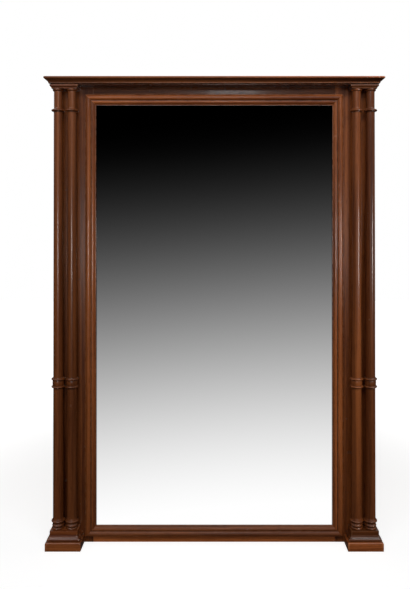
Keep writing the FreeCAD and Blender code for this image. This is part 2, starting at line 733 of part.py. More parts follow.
# Column profile: radius, height above the foot and bulge to the next point
FOOT_RING_RADIUS = f"({RING_RADIUS} - foot_ring_step)"
FOOT_MID = "(foot_ring_height + foot_ring_space)"
FOOT_SCOTIA = f"({FOOT_MID} + foot_ring_height)"
FOOT_TOP_RING = f"({FOOT_SCOTIA} + foot_scotia_height)"
FOOT_SWEEP = f"({FOOT_TOP_RING} + foot_ring_height + ring_fillet_height)"
FOOT_SHAFT = f"({FOOT_SWEEP} + foot_sweep_height)"
FOOT_FILLET_RADIUS = "(shaft_foot_radius + ring_fillet_step)"
ANNULET_RING = "(annulet_rise + ring_fillet_height)"
ANNULET_BAND = f"({ANNULET_RING} + annulet_height)"
ANNULET_UPPER = f"({ANNULET_BAND} + annulet_band_height)"
ANNULET_END = f"({ANNULET_UPPER} + annulet_height + ring_fillet_height)"
NECK_RING = f"({COLUMN_LENGTH} - neck_drop)"
NECK_SWEEP = f"({NECK_RING} + neck_ring_height)"
NECK_SHAFT = f"({NECK_SWEEP} + neck_sweep_height)"
CAP_RING = f"({COLUMN_LENGTH} - cap_fillet_height - cap_ring_height)"
SHAFT_SLOPE = f"((shaft_foot_radius - shaft_top_radius) / ({NECK_RING} - {FOOT_SHAFT}))"


def shaft_radius(level):
    """Radius of the tapering shaft at a height above the foot."""
    return f"(shaft_foot_radius - {SHAFT_SLOPE} * ({level} - {FOOT_SHAFT}))"


def ring(radius, level, height):
    """Half-round ring whose nose reaches a radius."""
    return [(f"({radius} - ring_bulge)", level, "ring_bulge"),
            (f"({radius} - ring_bulge)", f"{level} + {height}", "0")]


def column_profile():
    low_fillet = f"({shaft_radius('annulet_rise')} + ring_fillet_step)"
    high_fillet = f"({shaft_radius(ANNULET_END)} + ring_fillet_step)"
    neck_fillet = "(shaft_top_radius + ring_fillet_step)"
    return [
        ("0", "-spigot_length", "0"),
        ("spigot_radius", "-spigot_length", "0"),
        ("spigot_radius", "0", "0"),
        *ring(FOOT_RING_RADIUS, "0", "foot_ring_height"),
        *ring(FOOT_RING_RADIUS, FOOT_MID, "foot_ring_height"),
        (FOOT_FILLET_RADIUS, FOOT_SCOTIA, "-foot_scotia_bulge"),
        (FOOT_FILLET_RADIUS, FOOT_TOP_RING, "0"),
        *ring(RING_RADIUS, FOOT_TOP_RING, "foot_ring_height"),
        (FOOT_FILLET_RADIUS, f"{FOOT_TOP_RING} + foot_ring_height", "0"),
        (FOOT_FILLET_RADIUS, FOOT_SWEEP, "-foot_sweep_bulge"),
        ("shaft_foot_radius", FOOT_SHAFT, "0"),
        (shaft_radius("annulet_rise"), "annulet_rise", "0"),
        (low_fillet, "annulet_rise", "0"),
        (low_fillet, ANNULET_RING, "0"),
        *ring(RING_RADIUS, ANNULET_RING, "annulet_height"),
        (low_fillet, ANNULET_BAND, "annulet_band_bulge"),
        (low_fillet, ANNULET_UPPER, "0"),
        *ring(RING_RADIUS, ANNULET_UPPER, "annulet_height"),
        (high_fillet, f"{ANNULET_UPPER} + annulet_height", "0"),
        (high_fillet, ANNULET_END, "0"),
        (shaft_radius(ANNULET_END), ANNULET_END, "0"),
        ("shaft_top_radius", f"{NECK_RING} - ring_fillet_height", "0"),
        (neck_fillet, f"{NECK_RING} - ring_fillet_height", "0"),
        (neck_fillet, NECK_RING, "0"),
        *ring(RING_RADIUS, NECK_RING, "neck_ring_height"),
        (f"{RING_RADIUS} - 2 * ring_bulge", NECK_SWEEP, "-neck_sweep_bulge"),
        ("neck_radius", NECK_SHAFT, "0"),
        ("neck_radius", CAP_RING, "cap_ring_bulge"),
        ("cap_ring_radius", f"{CAP_RING} + cap_ring_height", "0"),
        ("cap_ring_radius", COLUMN_LENGTH, "0"),
        ("spigot_radius", COLUMN_LENGTH, "0"),
        ("spigot_radius", f"{COLUMN_LENGTH} + spigot_length", "0"),
        ("0", f"{COLUMN_LENGTH} + spigot_length", "0"),
    ]


for hand, side in SIDES.items():
    for where, offset in (("inner", "-column_spacing / 2"), ("outer", "column_spacing / 2")):
        label = f"column_{hand}_{where}"
        body = doc.addObject("PartDesign::Body", label)
        sketch = new_sketch(body, f"{label}_profile", "XZ_Plane")
        draw(sketch, column_profile())
        turning = body.newObject("PartDesign::Revolution", f"{label}_turning")
        turning.Profile = sketch
        turning.ReferenceAxis = (sketch, ["V_Axis"])
        place(body, f"{side} * ({PAIR_CENTRE} + {offset})", f"{FACE} - {COLUMN_SETBACK}", PLINTH_HEIGHT)
        keep(body, label)

# Plinths and abaci: projection past the die or fascia, height and bulge to the next point
SLAB_PROFILE = [
    ("slab_projection", "0", "0"),
    ("slab_projection", "slab_height - slab_ovolo", "slab_ovolo_bulge"),
    ("slab_projection - slab_ovolo", "slab_height", "0"),
]
LIP_FOOT = "notch_height"
LIP_TOP = "(notch_height + lip_height)"
DIE_FOOT = f"({LIP_TOP} + cavetto_height)"
CAP_PROFILE = [
    ("lip_projection - lip_bulge - notch_depth", "0", "0"),
    ("lip_projection - lip_bulge - notch_depth", LIP_FOOT, "0"),
    ("lip_projection - lip_bulge", LIP_FOOT, "lip_bulge"),
    ("lip_projection - lip_bulge", LIP_TOP, "-cavetto_bulge"),
    ("0", DIE_FOOT, "0"),
    ("0", CAP_HEIGHT, "0"),
]
ABACUS_PROFILE = [
    ("-abacus_cove_depth", "0", "-abacus_cove_bulge"),
    ("0", "abacus_cove_height", "0"),
    ("0", ABACUS_HEIGHT, "0"),
]

for hand, side in SIDES.items():
    x = f"{side} * {PAIR_CENTRE}"
    slab = moulded_block(f"slab_block_{hand}", DIE_HALF_WIDTH, DIE_FRONT, SLAB_PROFILE, x, "0")
    keep(cut(f"plinth_slab_{hand}", slab, plinth_screw_holes), f"plinth_slab_{hand}")
    cap = moulded_block(f"cap_block_{hand}", DIE_HALF_WIDTH, DIE_FRONT, CAP_PROFILE, x, "slab_height")
    keep(cut(f"plinth_cap_{hand}", cap, plinth_screw_holes,
             spigot_holes(f"foot_holes_{hand}", x, PLINTH_HEIGHT, DOWN)), f"plinth_cap_{hand}")
    abacus = moulded_block(f"abacus_block_{hand}", ABACUS_HALF_WIDTH, ABACUS_FRONT, ABACUS_PROFILE, x,
                           f"{FRAME_TOP} - {ABACUS_HEIGHT}")
    keep(cut(f"abacus_{hand}", abacus, abacus_screw_holes,
             spigot_holes(f"cap_holes_{hand}", x, f"{FRAME_TOP} - {ABACUS_HEIGHT}", UP)), f"abacus_{hand}")

# Cornice: a board with a mitred moulding on its front and both ends
board = box("cornice_board_blank", (f"-{HALF_CORE}", HALF_CORE), (CORE_FRONT, "0"),
            (FRAME_TOP, f"{FRAME_TOP} + {CORNICE_HEIGHT}"))
keep(cut("cornice_board", board, cornice_screw_holes, abacus_screw_holes), "cornice_board")

NOSE_REACH = "(cornice_root + cornice_cove_width)"
CORNICE_PROFILE = [
    ("0", "cornice_lift", "0"),
    ("cornice_root", "cornice_lift", "0"),
    ("cornice_root", COVE_FOOT, "-cornice_cove_bulge"),
    (NOSE_REACH, NOSE_FOOT, "cornice_nose_bulge"),
    (NOSE_REACH, CORNICE_HEIGHT, "0"),
    ("0", CORNICE_HEIGHT, "0"),
]


def cornice_waste(side, kept_front):
    """Triangle beyond the mitre at one front corner, seen from above."""
    inner = (f"{side} * ({HALF_CORE} - overrun)", f"{CORE_FRONT} + overrun")
    outer = (f"{side} * ({HALF_CORE} + {CORNICE_REACH} + overrun)",
             f"{CORE_FRONT} - {CORNICE_REACH} - overrun")
    corner = (outer[0], inner[1]) if kept_front else (inner[0], outer[1])
    return anticlockwise([(*inner, "0"), (*outer, "0"), (*corner, "0")])


def cornice_length(label, plane, corners, offset, length, both_ways, mitres):
    body = doc.addObject("PartDesign::Body", label)
    sketch = new_sketch(body, f"{label}_profile", plane)
    draw(sketch, anticlockwise(corners))
    sketch.setExpression("AttachmentOffset.Base.z", bind(offset))
    padded(body, sketch, length, both_ways)
    ends = new_sketch(body, f"{label}_mitres", "XY_Plane")
    for waste in mitres:
        draw(ends, waste)
    pocketed(body, ends)
    keep(body, label)


cornice_length("cornice_front", "YZ_Plane",
               [(f"{CORE_FRONT} - ({out})", f"{FRAME_TOP} + {up}", bulge)
                for out, up, bulge in CORNICE_PROFILE],
               "0", f"2 * ({HALF_CORE} + {CORNICE_REACH})", True,
               [cornice_waste(side, True) for side in SIDES.values()])
for hand, side in SIDES.items():
    cornice_length(f"cornice_return_{hand}", "XZ_Plane",
                   [(f"{side} * ({HALF_CORE} + {out})", f"{FRAME_TOP} + {up}", bulge)
                    for out, up, bulge in CORNICE_PROFILE],
                   "0", f"-({CORE_FRONT}) + {CORNICE_REACH}", False, [cornice_waste(side, False)])

# Strap hangers and their rings, hanging down
LOOP_Y = f"({STILE_BACK} + {LOOP_LIFT})"
for hand, side in SIDES.items():
    x = f"{side} * {HANGER_X}"
    across = (f"{x} - strap_width / 2", f"{x} + strap_width / 2")
    label = f"hanger_strap_{hand}"
    plate = box(f"{label}_plate", across, (STILE_BACK, f"{STILE_BACK} + strap_thickness"),
                (f"{HANGER_Z} - strap_length", f"{HANGER_Z} + strap_tip"))
    start = (across[0], LOOP_Y, HANGER_Z)
    loop = turned("Part::Cylinder", f"{label}_loop", start, ALONG_X,
                  Radius=LOOP_OUTER, Height="strap_width")
    bore = turned("Part::Cylinder", f"{label}_bore", start, ALONG_X,
                  Radius=LOOP_BORE, Height="strap_width")
    keep(cut(label, joined(f"{label}_blank", [plate, loop]), bore, strap_screw_holes), label)

    label = f"hanger_ring_{hand}"
    body = doc.addObject("PartDesign::Body", label)
    path = new_sketch(body, f"{label}_path", "XZ_Plane")
    side_end = f"-(ring_drop - {RING_HALF_WIDTH})"
    draw(path, anticlockwise([
        ("0", "0", "0"),
        (f"{RING_HALF_WIDTH} - ring_corner", "0", quarter("ring_corner")),
        (RING_HALF_WIDTH, "-ring_corner", "0"),
        (RING_HALF_WIDTH, side_end, quarter(RING_HALF_WIDTH)),
        ("0", "-ring_drop", quarter(RING_HALF_WIDTH)),
        (f"-{RING_HALF_WIDTH}", side_end, "0"),
        (f"-{RING_HALF_WIDTH}", "-ring_corner", quarter("ring_corner")),
        (f"-({RING_HALF_WIDTH} - ring_corner)", "0", "0"),
    ]))
    section = new_sketch(body, f"{label}_section", "YZ_Plane")
    wire_radius = "wire_diameter / 2"
    circle = Part.Circle(FreeCAD.Vector(), FreeCAD.Vector(*UP), amount(wire_radius))
    section.addGeometry(circle, False)
    tie(section, [(Sketcher.Constraint("Coincident", 0, 3, -1, 1), ""),
                  (Sketcher.Constraint("Radius", 0, amount(wire_radius)), wire_radius)])
    wire = body.newObject("PartDesign::AdditivePipe", f"{label}_wire")
    wire.Profile = section
    wire.Spine = path
    place(body, x, LOOP_Y, HANGER_Z)
    keep(body, label)

doc.recompute()

faults = [item.Name for item in doc.Objects if {"Invalid", "Error"} & set(item.State)]
faults += [piece.Label for piece in nodes if piece.Shape.isNull() or not piece.Shape.isValid()]
if faults:
    raise RuntimeError(f"failed: {faults}")

os.makedirs("parts", exist_ok=True)
for piece in nodes:
    piece.Shape.exportStep(f"parts/{piece.Label}.step")
print(f"{len(nodes)} pieces written")
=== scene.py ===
import math

import bpy
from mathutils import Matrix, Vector


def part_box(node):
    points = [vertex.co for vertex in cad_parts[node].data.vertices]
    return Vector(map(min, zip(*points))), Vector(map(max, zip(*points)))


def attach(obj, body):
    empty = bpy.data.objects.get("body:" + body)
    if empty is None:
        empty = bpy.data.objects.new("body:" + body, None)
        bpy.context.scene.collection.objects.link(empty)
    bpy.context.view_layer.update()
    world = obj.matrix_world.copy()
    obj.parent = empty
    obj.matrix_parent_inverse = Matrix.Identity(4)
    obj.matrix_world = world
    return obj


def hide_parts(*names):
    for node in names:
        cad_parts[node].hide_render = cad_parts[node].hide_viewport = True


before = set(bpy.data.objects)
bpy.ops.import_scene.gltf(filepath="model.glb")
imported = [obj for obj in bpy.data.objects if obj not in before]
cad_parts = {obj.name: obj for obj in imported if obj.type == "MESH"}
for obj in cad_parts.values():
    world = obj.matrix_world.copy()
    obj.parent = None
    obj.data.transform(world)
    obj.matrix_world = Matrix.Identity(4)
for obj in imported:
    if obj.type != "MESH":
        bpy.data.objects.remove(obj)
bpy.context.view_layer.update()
bpy.context.scene.view_settings.view_transform = "Standard"

X_AXIS, Y_AXIS, Z_AXIS = 0, 1, 2
HANDS = {"left": -1, "right": 1}

# Sizes in metres. Places come from the CAD pieces, these give the run of each profile.
EASED_EDGE = 0.0007
CRISP_EDGE = 0.0004
CORNER_MARK = 0.002
MERGE = 0.00001

RING_REACH = 0.0246
RING_BULGE = 0.0026
FILLET_HEIGHT = 0.002
FILLET_STEP = 0.0016
SHAFT_FOOT = 0.019
SHAFT_TOP = 0.0162
NECK = 0.0156
FOOT_RING_INSET = 0.0028
FOOT_RING_REACH = RING_REACH - FOOT_RING_INSET
FOOT_RING_HEIGHT = 0.007
FOOT_RING_SPACE = 0.003
SCOTIA_HEIGHT = 0.009
SCOTIA_BULGE = 0.0024
FOOT_SWEEP_HEIGHT = 0.007
FOOT_SWEEP_BULGE = 0.0004
ANNULET_RISE = 0.519
ANNULET_HEIGHT = 0.006
BAND_HEIGHT = 0.022
BAND_BULGE = 0.0012
NECK_DROP = 0.082
NECK_RING_HEIGHT = 0.007
NECK_SWEEP_HEIGHT = 0.008
NECK_SWEEP_BULGE = 0.0014
CAP_RING_REACH = 0.02
CAP_RING_HEIGHT = 0.006
CAP_RING_BULGE = 0.0018
CAP_FILLET_HEIGHT = 0.002
SPIGOT_RADIUS = 0.006
SPIGOT_LENGTH = 0.009

SIGHT_EDGE = 0.004
SIGHT_FILLET = 0.0025
INNER_BEAD = 0.013
INNER_BEAD_RISE = 0.007
INNER_BEAD_BULGE = 0.003
QUIRK_WIDTH = 0.003
QUIRK_DEPTH = 0.003
OUTER_BEAD = 0.018
OUTER_BEAD_BULGE = 0.0056
OUTER_FILLET = 0.0035
OUTER_FILLET_HEIGHT = 0.005

CORNICE_ROOT = 0.008
CORNICE_LIFT = 0.0035
CORNICE_FILLET_HEIGHT = 0.0035
CORNICE_COVE_HEIGHT = 0.01
CORNICE_COVE_WIDTH = 0.0115
CORNICE_COVE_BULGE = 0.001
CORNICE_NOSE_BULGE = 0.0025

SLAB_PROJECTION = 0.014
SLAB_OVOLO = 0.004
SLAB_OVOLO_BULGE = 0.0011
NOTCH_HEIGHT = 0.003
NOTCH_DEPTH = 0.003
LIP_PROJECTION = 0.009
LIP_HEIGHT = 0.008
LIP_BULGE = 0.002
CAVETTO_HEIGHT = 0.012
CAVETTO_BULGE = 0.002
ABACUS_COVE_HEIGHT = 0.0075
ABACUS_COVE_DEPTH = 0.005
ABACUS_COVE_BULGE = 0.0016

# Steps and angles that the modelling goes by
ARC_STEPS = 8
TURNING_STEPS = 72
RUN_SECTIONS = 14
BLOCK_CUTS = 12
EDGE_SEGMENTS = 2
SHARP_ANGLE = math.radians(35)
SMOOTH_ANGLE = math.radians(25)
FLAT_ANGLE = math.radians(1)

# Places that the CAD pieces give
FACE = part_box("mirror_plate")[0].y
HALF_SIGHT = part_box("sight_moulding_right")[0].x
HALF_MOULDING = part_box("sight_moulding_right")[1].x
SIGHT_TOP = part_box("sight_moulding_top")[0].z
SIGHT_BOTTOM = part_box("sight_moulding_bottom")[1].z
MOULDING_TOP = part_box("sight_moulding_top")[1].z
MOULDING_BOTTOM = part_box("sight_moulding_bottom")[0].z
CORE_LOW, CORE_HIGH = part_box("cornice_board")
CORNICE_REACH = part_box("cornice_front")[1].x

# The object that shows each CAD node: the node's own, or the piece that stands for it
shown = dict(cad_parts)


# Modelling
def select_only(piece):
    """Make this the one piece that the next steps work on."""
    bpy.ops.object.select_all(action="DESELECT")
    bpy.context.view_layer.objects.active = piece
    piece.select_set(True)


def begin_piece(name):
    """A new plane, one metre square, selected all over and in edit mode."""
    bpy.ops.object.select_all(action="DESELECT")
    bpy.ops.mesh.primitive_plane_add(size=1)
    bpy.context.object.name = name
    bpy.ops.object.mode_set(mode="EDIT")


def begin_line(name, points):
    """A run of edges from point to point, in edit mode."""
    begin_piece(name)
    bpy.ops.mesh.merge(type="CENTER")
    bpy.ops.transform.translate(value=points[0])
    for start, end in zip(points, points[1:]):
        bpy.ops.mesh.extrude_vertices_move(TRANSFORM_OT_translate={"value": end - start})


def arc_points(start, end, bulge):
    """Points along an arc that swells to the right of the way from start to end."""
    chord = end - start
    length = chord.length
    turn = 2 * math.atan(2 * bulge / length)
    radius = length / (2 * math.sin(turn))
    along = chord / length
    right = Vector((along.y, -along.x))
    points = []
    for step in range(1, ARC_STEPS):
        angle = turn * (2 * step / ARC_STEPS - 1)
        off = radius * (math.cos(angle) - math.cos(turn))
        points.append(start + along * (length / 2 + radius * math.sin(angle)) + right * off)
    return points


def outline(corners):
    """All points of a profile. A corner is two distances and the bulge of the way to the next corner.

    Long straight runs get a point near each end, so that wear and wax stay at the corners.
    """
    points = []
    for (first, second, bulge), (next_first, next_second, _) in zip(corners, corners[1:]):
        start = Vector((first, second))
        end = Vector((next_first, next_second))
        points.append(start)
        if bulge:
            points += arc_points(start, end, bulge)
        elif (end - start).length > 3 * CORNER_MARK:
            mark = (end - start).normalized() * CORNER_MARK
            points += [start + mark, end - mark]
    points.append(Vector(corners[-1][:2]))
    return points


def mark_wear():
    """Merge the seams, turn the faces outwards, and note which corners stick out or lie hollow."""
    bpy.ops.mesh.select_all(action="SELECT")
    bpy.ops.mesh.remove_doubles(threshold=MERGE)
    bpy.ops.mesh.normals_make_consistent(inside=False)
    bpy.ops.object.mode_set(mode="OBJECT")
    bpy.context.object.data.color_attributes.new("wear", "FLOAT_COLOR", "CORNER")
    bpy.ops.paint.vertex_color_dirt(blur_iterations=0, normalize=False)


def ease_edges(edge):
    """Round the sharp edges a little and shade the curves smooth."""
    piece = bpy.context.object
    bevel = piece.modifiers.new("eased edges", "BEVEL")
    bevel.width = edge
    bevel.segments = EDGE_SEGMENTS
    bevel.limit_method = "ANGLE"
    bevel.angle_limit = SHARP_ANGLE
    bpy.ops.object.modifier_apply(modifier=bevel.name)
    bpy.ops.object.shade_smooth_by_angle(angle=SMOOTH_ANGLE)
    return piece


def ring_corners(reach, level, height):
    """The round edge of one turned ring."""
    root = reach - RING_BULGE
    return [(root, level, RING_BULGE), (root, level + height, 0)]


def turned_column(name, length):
    """One column on the Z axis, its foot at zero."""
    foot_mid = FOOT_RING_HEIGHT + FOOT_RING_SPACE
    scotia = foot_mid + FOOT_RING_HEIGHT
    top_ring = scotia + SCOTIA_HEIGHT
    sweep = top_ring + FOOT_RING_HEIGHT + FILLET_HEIGHT
    shaft = sweep + FOOT_SWEEP_HEIGHT
    lower = ANNULET_RISE + FILLET_HEIGHT
    band = lower + ANNULET_HEIGHT
    upper = band + BAND_HEIGHT
    annulet_end = upper + ANNULET_HEIGHT + FILLET_HEIGHT
    neck = length - NECK_DROP
    neck_sweep = neck + NECK_RING_HEIGHT
    cap = length - CAP_FILLET_HEIGHT - CAP_RING_HEIGHT

    slope = (SHAFT_FOOT - SHAFT_TOP) / (neck - shaft)
    low_shaft = SHAFT_FOOT - slope * (ANNULET_RISE - shaft)
    high_shaft = SHAFT_FOOT - slope * (annulet_end - shaft)
    foot_fillet = SHAFT_FOOT + FILLET_STEP
    low_fillet = low_shaft + FILLET_STEP
    high_fillet = high_shaft + FILLET_STEP
    neck_fillet = SHAFT_TOP + FILLET_STEP

    corners = [
        (0, -SPIGOT_LENGTH, 0),
        (SPIGOT_RADIUS, -SPIGOT_LENGTH, 0),
        (SPIGOT_RADIUS, 0, 0),
        *ring_corners(FOOT_RING_REACH, 0, FOOT_RING_HEIGHT),
        *ring_corners(FOOT_RING_REACH, foot_mid, FOOT_RING_HEIGHT),
        (foot_fillet, scotia, -SCOTIA_BULGE),
        (foot_fillet, top_ring, 0),
        *ring_corners(RING_REACH, top_ring, FOOT_RING_HEIGHT),
        (foot_fillet, top_ring + FOOT_RING_HEIGHT, 0),
        (foot_fillet, sweep, -FOOT_SWEEP_BULGE),
        (SHAFT_FOOT, shaft, 0),
        (low_shaft, ANNULET_RISE, 0),
        (low_fillet, ANNULET_RISE, 0),
        (low_fillet, lower, 0),
        *ring_corners(RING_REACH, lower, ANNULET_HEIGHT),
        (low_fillet, band, BAND_BULGE),
        (low_fillet, upper, 0),
        *ring_corners(RING_REACH, upper, ANNULET_HEIGHT),
        (high_fillet, upper + ANNULET_HEIGHT, 0),
        (high_fillet, annulet_end, 0),
        (high_shaft, annulet_end, 0),
        (SHAFT_TOP, neck - FILLET_HEIGHT, 0),
        (neck_fillet, neck - FILLET_HEIGHT, 0),
        (neck_fillet, neck, 0),
        *ring_corners(RING_REACH, neck, NECK_RING_HEIGHT),
        (RING_REACH - 2 * RING_BULGE, neck_sweep, -NECK_SWEEP_BULGE),
        (NECK, neck_sweep + NECK_SWEEP_HEIGHT, 0),
        (NECK, cap, CAP_RING_BULGE),
        (CAP_RING_REACH, cap + CAP_RING_HEIGHT, 0),
        (CAP_RING_REACH, length, 0),
        (SPIGOT_RADIUS, length, 0),
        (SPIGOT_RADIUS, length + SPIGOT_LENGTH, 0),
        (0, length + SPIGOT_LENGTH, 0),
    ]
    begin_line(name, [Vector((point.x, 0, point.y)) for point in outline(corners)])
    bpy.ops.mesh.select_all(action="SELECT")
    bpy.ops.mesh.spin(steps=TURNING_STEPS, angle=2 * math.pi, center=(0, 0, 0), axis=(0, 0, 1))
    mark_wear()
    return ease_edges(CRISP_EDGE)


def copied_to(piece, name, offset):
    """A copy with its own mesh, moved to its place."""
    select_only(piece)
    bpy.ops.object.duplicate()
    copy = bpy.context.object
    copy.name = name
    bpy.ops.transform.translate(value=offset)
    bpy.ops.object.transform_apply(location=True, rotation=False, scale=False)
    return copy


def run_of_moulding(name, points, length, mitres):
    """A profile drawn at one end, run along a length and cut off at its mitres.

    A second cut close to each mitre, which takes nothing off, keeps the wear beside it narrow.
    """
    begin_line(name, points)
    bpy.ops.mesh.select_all(action="SELECT")
    bpy.ops.mesh.edge_face_add()
    for _ in range(RUN_SECTIONS):
        bpy.ops.mesh.extrude_region_move(TRANSFORM_OT_translate={"value": length / RUN_SECTIONS})
    for place, waste in mitres:
        bpy.ops.mesh.select_all(action="SELECT")
        bpy.ops.mesh.bisect(plane_co=place, plane_no=waste, use_fill=True, clear_outer=True)
        bpy.ops.mesh.select_all(action="SELECT")
        bpy.ops.mesh.bisect(plane_co=place - waste.normalized() * CORNER_MARK, plane_no=waste)
    mark_wear()
    return ease_edges(CRISP_EDGE)


def moulded_block(name, middle, foot, half_width, front, corners):
    """A block on the frame's face, raised level by level with one profile on its front and ends."""
    levels = outline(corners)
    begin_piece(name)
    bpy.ops.mesh.subdivide(number_cuts=BLOCK_CUTS)
    width = 2 * (half_width + levels[0].x)
    depth = front + levels[0].x
    bpy.ops.transform.resize(value=(width, depth, 1), center_override=(0, 0, 0))
    bpy.ops.transform.translate(value=(middle, FACE - depth / 2, foot + levels[0].y))
    for last, here in zip(levels, levels[1:]):
        bpy.ops.mesh.extrude_region_move(TRANSFORM_OT_translate={"value": (0, 0, here.y - last.y)})
        spread = ((half_width + here.x) / (half_width + last.x), (front + here.x) / (front + last.x), 1)
        bpy.ops.transform.resize(value=spread, center_override=(middle, FACE, foot))
    mark_wear()
    return ease_edges(CRISP_EDGE)


def eased_copy(node):
    """A copy of a plain CAD piece with its flat faces made whole and its edges eased."""
    piece = bpy.data.objects.new(f"eased_{node}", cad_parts[node].data.copy())
    bpy.context.collection.objects.link(piece)
    select_only(piece)
    bpy.ops.object.mode_set(mode="EDIT")
    bpy.ops.mesh.select_all(action="SELECT")
    bpy.ops.mesh.remove_doubles(threshold=MERGE)
    bpy.ops.mesh.dissolve_limited(angle_limit=FLAT_ANGLE)
    bpy.ops.object.mode_set(mode="OBJECT")
    return ease_edges(EASED_EDGE)


def dress(piece, node, material):
    """The piece stands for a CAD node and takes a finish."""
    piece.data.materials.clear()
    piece.data.materials.append(material)
    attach(piece, "frame")
    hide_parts(node)
    shown[node] = piece


def refinish(node, material):
    """A CAD piece keeps its shape and takes a finish."""
    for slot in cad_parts[node].material_slots:
        slot.material = material


# Colours of the finishes, in linear light
MAHOGANY_DARK = (0.072, 0.016, 0.004)
MAHOGANY_LIGHT = (0.275, 0.08, 0.021)
MAHOGANY_RUBBED = (0.32, 0.125, 0.045)
MAHOGANY_PORE = (0.025, 0.006, 0.002, 1)
DARK_WAX = (0.02, 0.0065, 0.0025, 1)
PINE_EARLY_WOOD = (0.42, 0.265, 0.13, 1)
PINE_LATE_WOOD = (0.27, 0.145, 0.06, 1)
PINE_KNOT = (0.11, 0.045, 0.018, 1)
DAMP_STAIN = (0.2, 0.125, 0.07, 1)
EDGE_GRIME = (0.12, 0.085, 0.055, 1)
OAK_DARK = (0.16, 0.085, 0.038, 1)
OAK_LIGHT = (0.34, 0.21, 0.105, 1)
OAK_PORE = (0.07, 0.035, 0.017, 1)
LEATHER_DARK = (0.09, 0.045, 0.024, 1)
LEATHER_LIGHT = (0.2, 0.11, 0.062, 1)
BRASS_BRIGHT = (0.62, 0.42, 0.16, 1)
BRASS_DULL = (0.3, 0.19, 0.075, 1)
BRASS_TARNISH = (0.09, 0.065, 0.035, 1)
STEEL_BRIGHT = (0.36, 0.35, 0.34, 1)
STEEL_DULL = (0.2, 0.19, 0.18, 1)
STEEL_RUST = (0.13, 0.055, 0.025, 1)
SILVER_WHITE = 0.9
SILVER = (SILVER_WHITE, SILVER_WHITE, SILVER_WHITE, 1)
SILVER_FOXED = (0.2, 0.17, 0.13, 1)
# Dark line painted on the silver as a reflection of the moulding's edge
SILVER_PAINTED_REFLECTION = (0.06, 0.045, 0.035, 1)
RED_LEAD_DARK = (0.16, 0.045, 0.03, 1)
RED_LEAD_LIGHT = (0.22, 0.075, 0.05, 1)

# How light each piece's mahogany is, where it isn't 1: partly the wood's own tone, partly painted light
# and shade for how much light each piece gets
TONE_AND_PAINTED_LIGHT = {
    "column_left_inner": 0.8,
    "column_right_inner": 1.25,
    "column_right_outer": 0.92,
    "left_stile": 1.05,
    "right_stile": 1.55,
    "sight_moulding_left": 1.05,
    "sight_moulding_right": 1.25,
    "sight_moulding_top": 2.3,
    "sight_moulding_bottom": 1.25,
    "top_rail": 0.95,
    "bottom_rail": 2.3,
    "cornice_front": 0.9,
    "plinth_slab_left": 1.2,
    "plinth_slab_right": 1.9,
    "plinth_cap_left": 1.25,
    "plinth_cap_right": 0.55,
    "abacus_left": 1.3,
    "abacus_right": 0.6,
}

# How far a wood's pattern moves along each axis from one pattern number to the next, in metres
MAHOGANY_SHIFT = (3.1, 1.7, 2.3)
PINE_SHIFT = (2.9, 1.3, 3.7)

# Widths of what shows along edges, and the plate's depths where silver turns to paint, in metres
RUBBED_WIDTH = 0.003
GRIME_WIDTH = 0.03
FOXED_WIDTH = 0.008
# Width of the dark line painted on the silver as a reflection of the moulding's edge
PAINTED_REFLECTION_WIDTH = 0.004
SILVER_BACK = 0.0005
PAINT_FRONT = 0.001


# Finishes
class Strand:
    """One socket among a finish's nodes. Sums on it add Math nodes."""

    def __init__(self, tree, socket=None):
        self.tree = tree
        self.socket = socket

    def node(self, kind, settings, inputs, output=0):
        """Add a node, make its settings, fill its sockets and give an output, if it has any."""
        node = self.tree.nodes.new(kind)
        for name, value in settings.items():
            setattr(node, name, value)
        for name, value in inputs.items():
            if isinstance(value, Strand):
                self.tree.links.new(value.socket, node.inputs[name])
            else:
                node.inputs[name].default_value = value
        return Strand(self.tree, node.outputs[output] if node.outputs else None)

    def math(self, operation, first, second=0.0):
        """Math node on one value or two."""
        return self.node("ShaderNodeMath", {"operation": operation}, {0: first, 1: second})

    def __add__(self, other):
        return self.math("ADD", self, other)

    def __radd__(self, other):
        return self.math("ADD", other, self)

    def __sub__(self, other):
        return self.math("SUBTRACT", self, other)

    def __rsub__(self, other):
        return self.math("SUBTRACT", other, self)

    def __mul__(self, other):
        return self.math("MULTIPLY", self, other)

    def __rmul__(self, other):
        return self.math("MULTIPLY", other, self)

    def __truediv__(self, other):
        return self.math("DIVIDE", self, other)

    def __pow__(self, other):
        return self.math("POWER", self, other)

    def step(self, low, high):
        """Smooth rise from 0 at low to 1 at high."""
        return self.node("ShaderNodeMapRange", {"interpolation_type": "SMOOTHSTEP"},
                         {"Value": self, "From Min": low, "From Max": high})

    def between(self, first, second):
        """Colour between two colours, with this value as the share of the second."""
        return self.node("ShaderNodeMix", {"data_type": "RGBA"}, {0: self, 6: first, 7: second}, 2)

    def part(self, axis):
        """One coordinate of this place."""
        return self.node("ShaderNodeSeparateXYZ", {}, {0: self}, axis)

    def scaled(self, scale, offset=(0, 0, 0)):
        """This place with its own scale along each axis."""
        return self.node("ShaderNodeMapping", {}, {"Vector": self, "Location": offset, "Scale": scale})

    def noise(self, scale, detail, offset=(0, 0, 0), distortion=0.0):
        """Soft noise over this place."""
        return self.node("ShaderNodeTexNoise", {}, {
            "Vector": self.scaled(scale, offset),
            "Scale": 1.0,
            "Detail": detail,
            "Distortion": distortion})

    def cells(self, scale, offset=(0, 0, 0)):
        """How far it is to the nearest of points scattered over this place."""
        return self.node("ShaderNodeTexVoronoi", {}, {
            "Vector": self.scaled(scale, offset),
            "Scale": 1.0}, "Distance")

    def ends(self, kind):
        """Join this shader to a new output node."""
        self.node(kind, {}, {"Surface": self})


def new_finish(name):
    """An empty material, and the place on the object that its patterns start from."""
    material = bpy.data.materials.new(name)
    material.use_nodes = True
    material.node_tree.nodes.clear()
    start = Strand(material.node_tree)
    return material, start.node("ShaderNodeTexCoord", {}, {}, "Object")


def surface(place, settings):
    """Principled shader with these values in its sockets."""
    return place.node("ShaderNodeBsdfPrincipled", {}, settings)


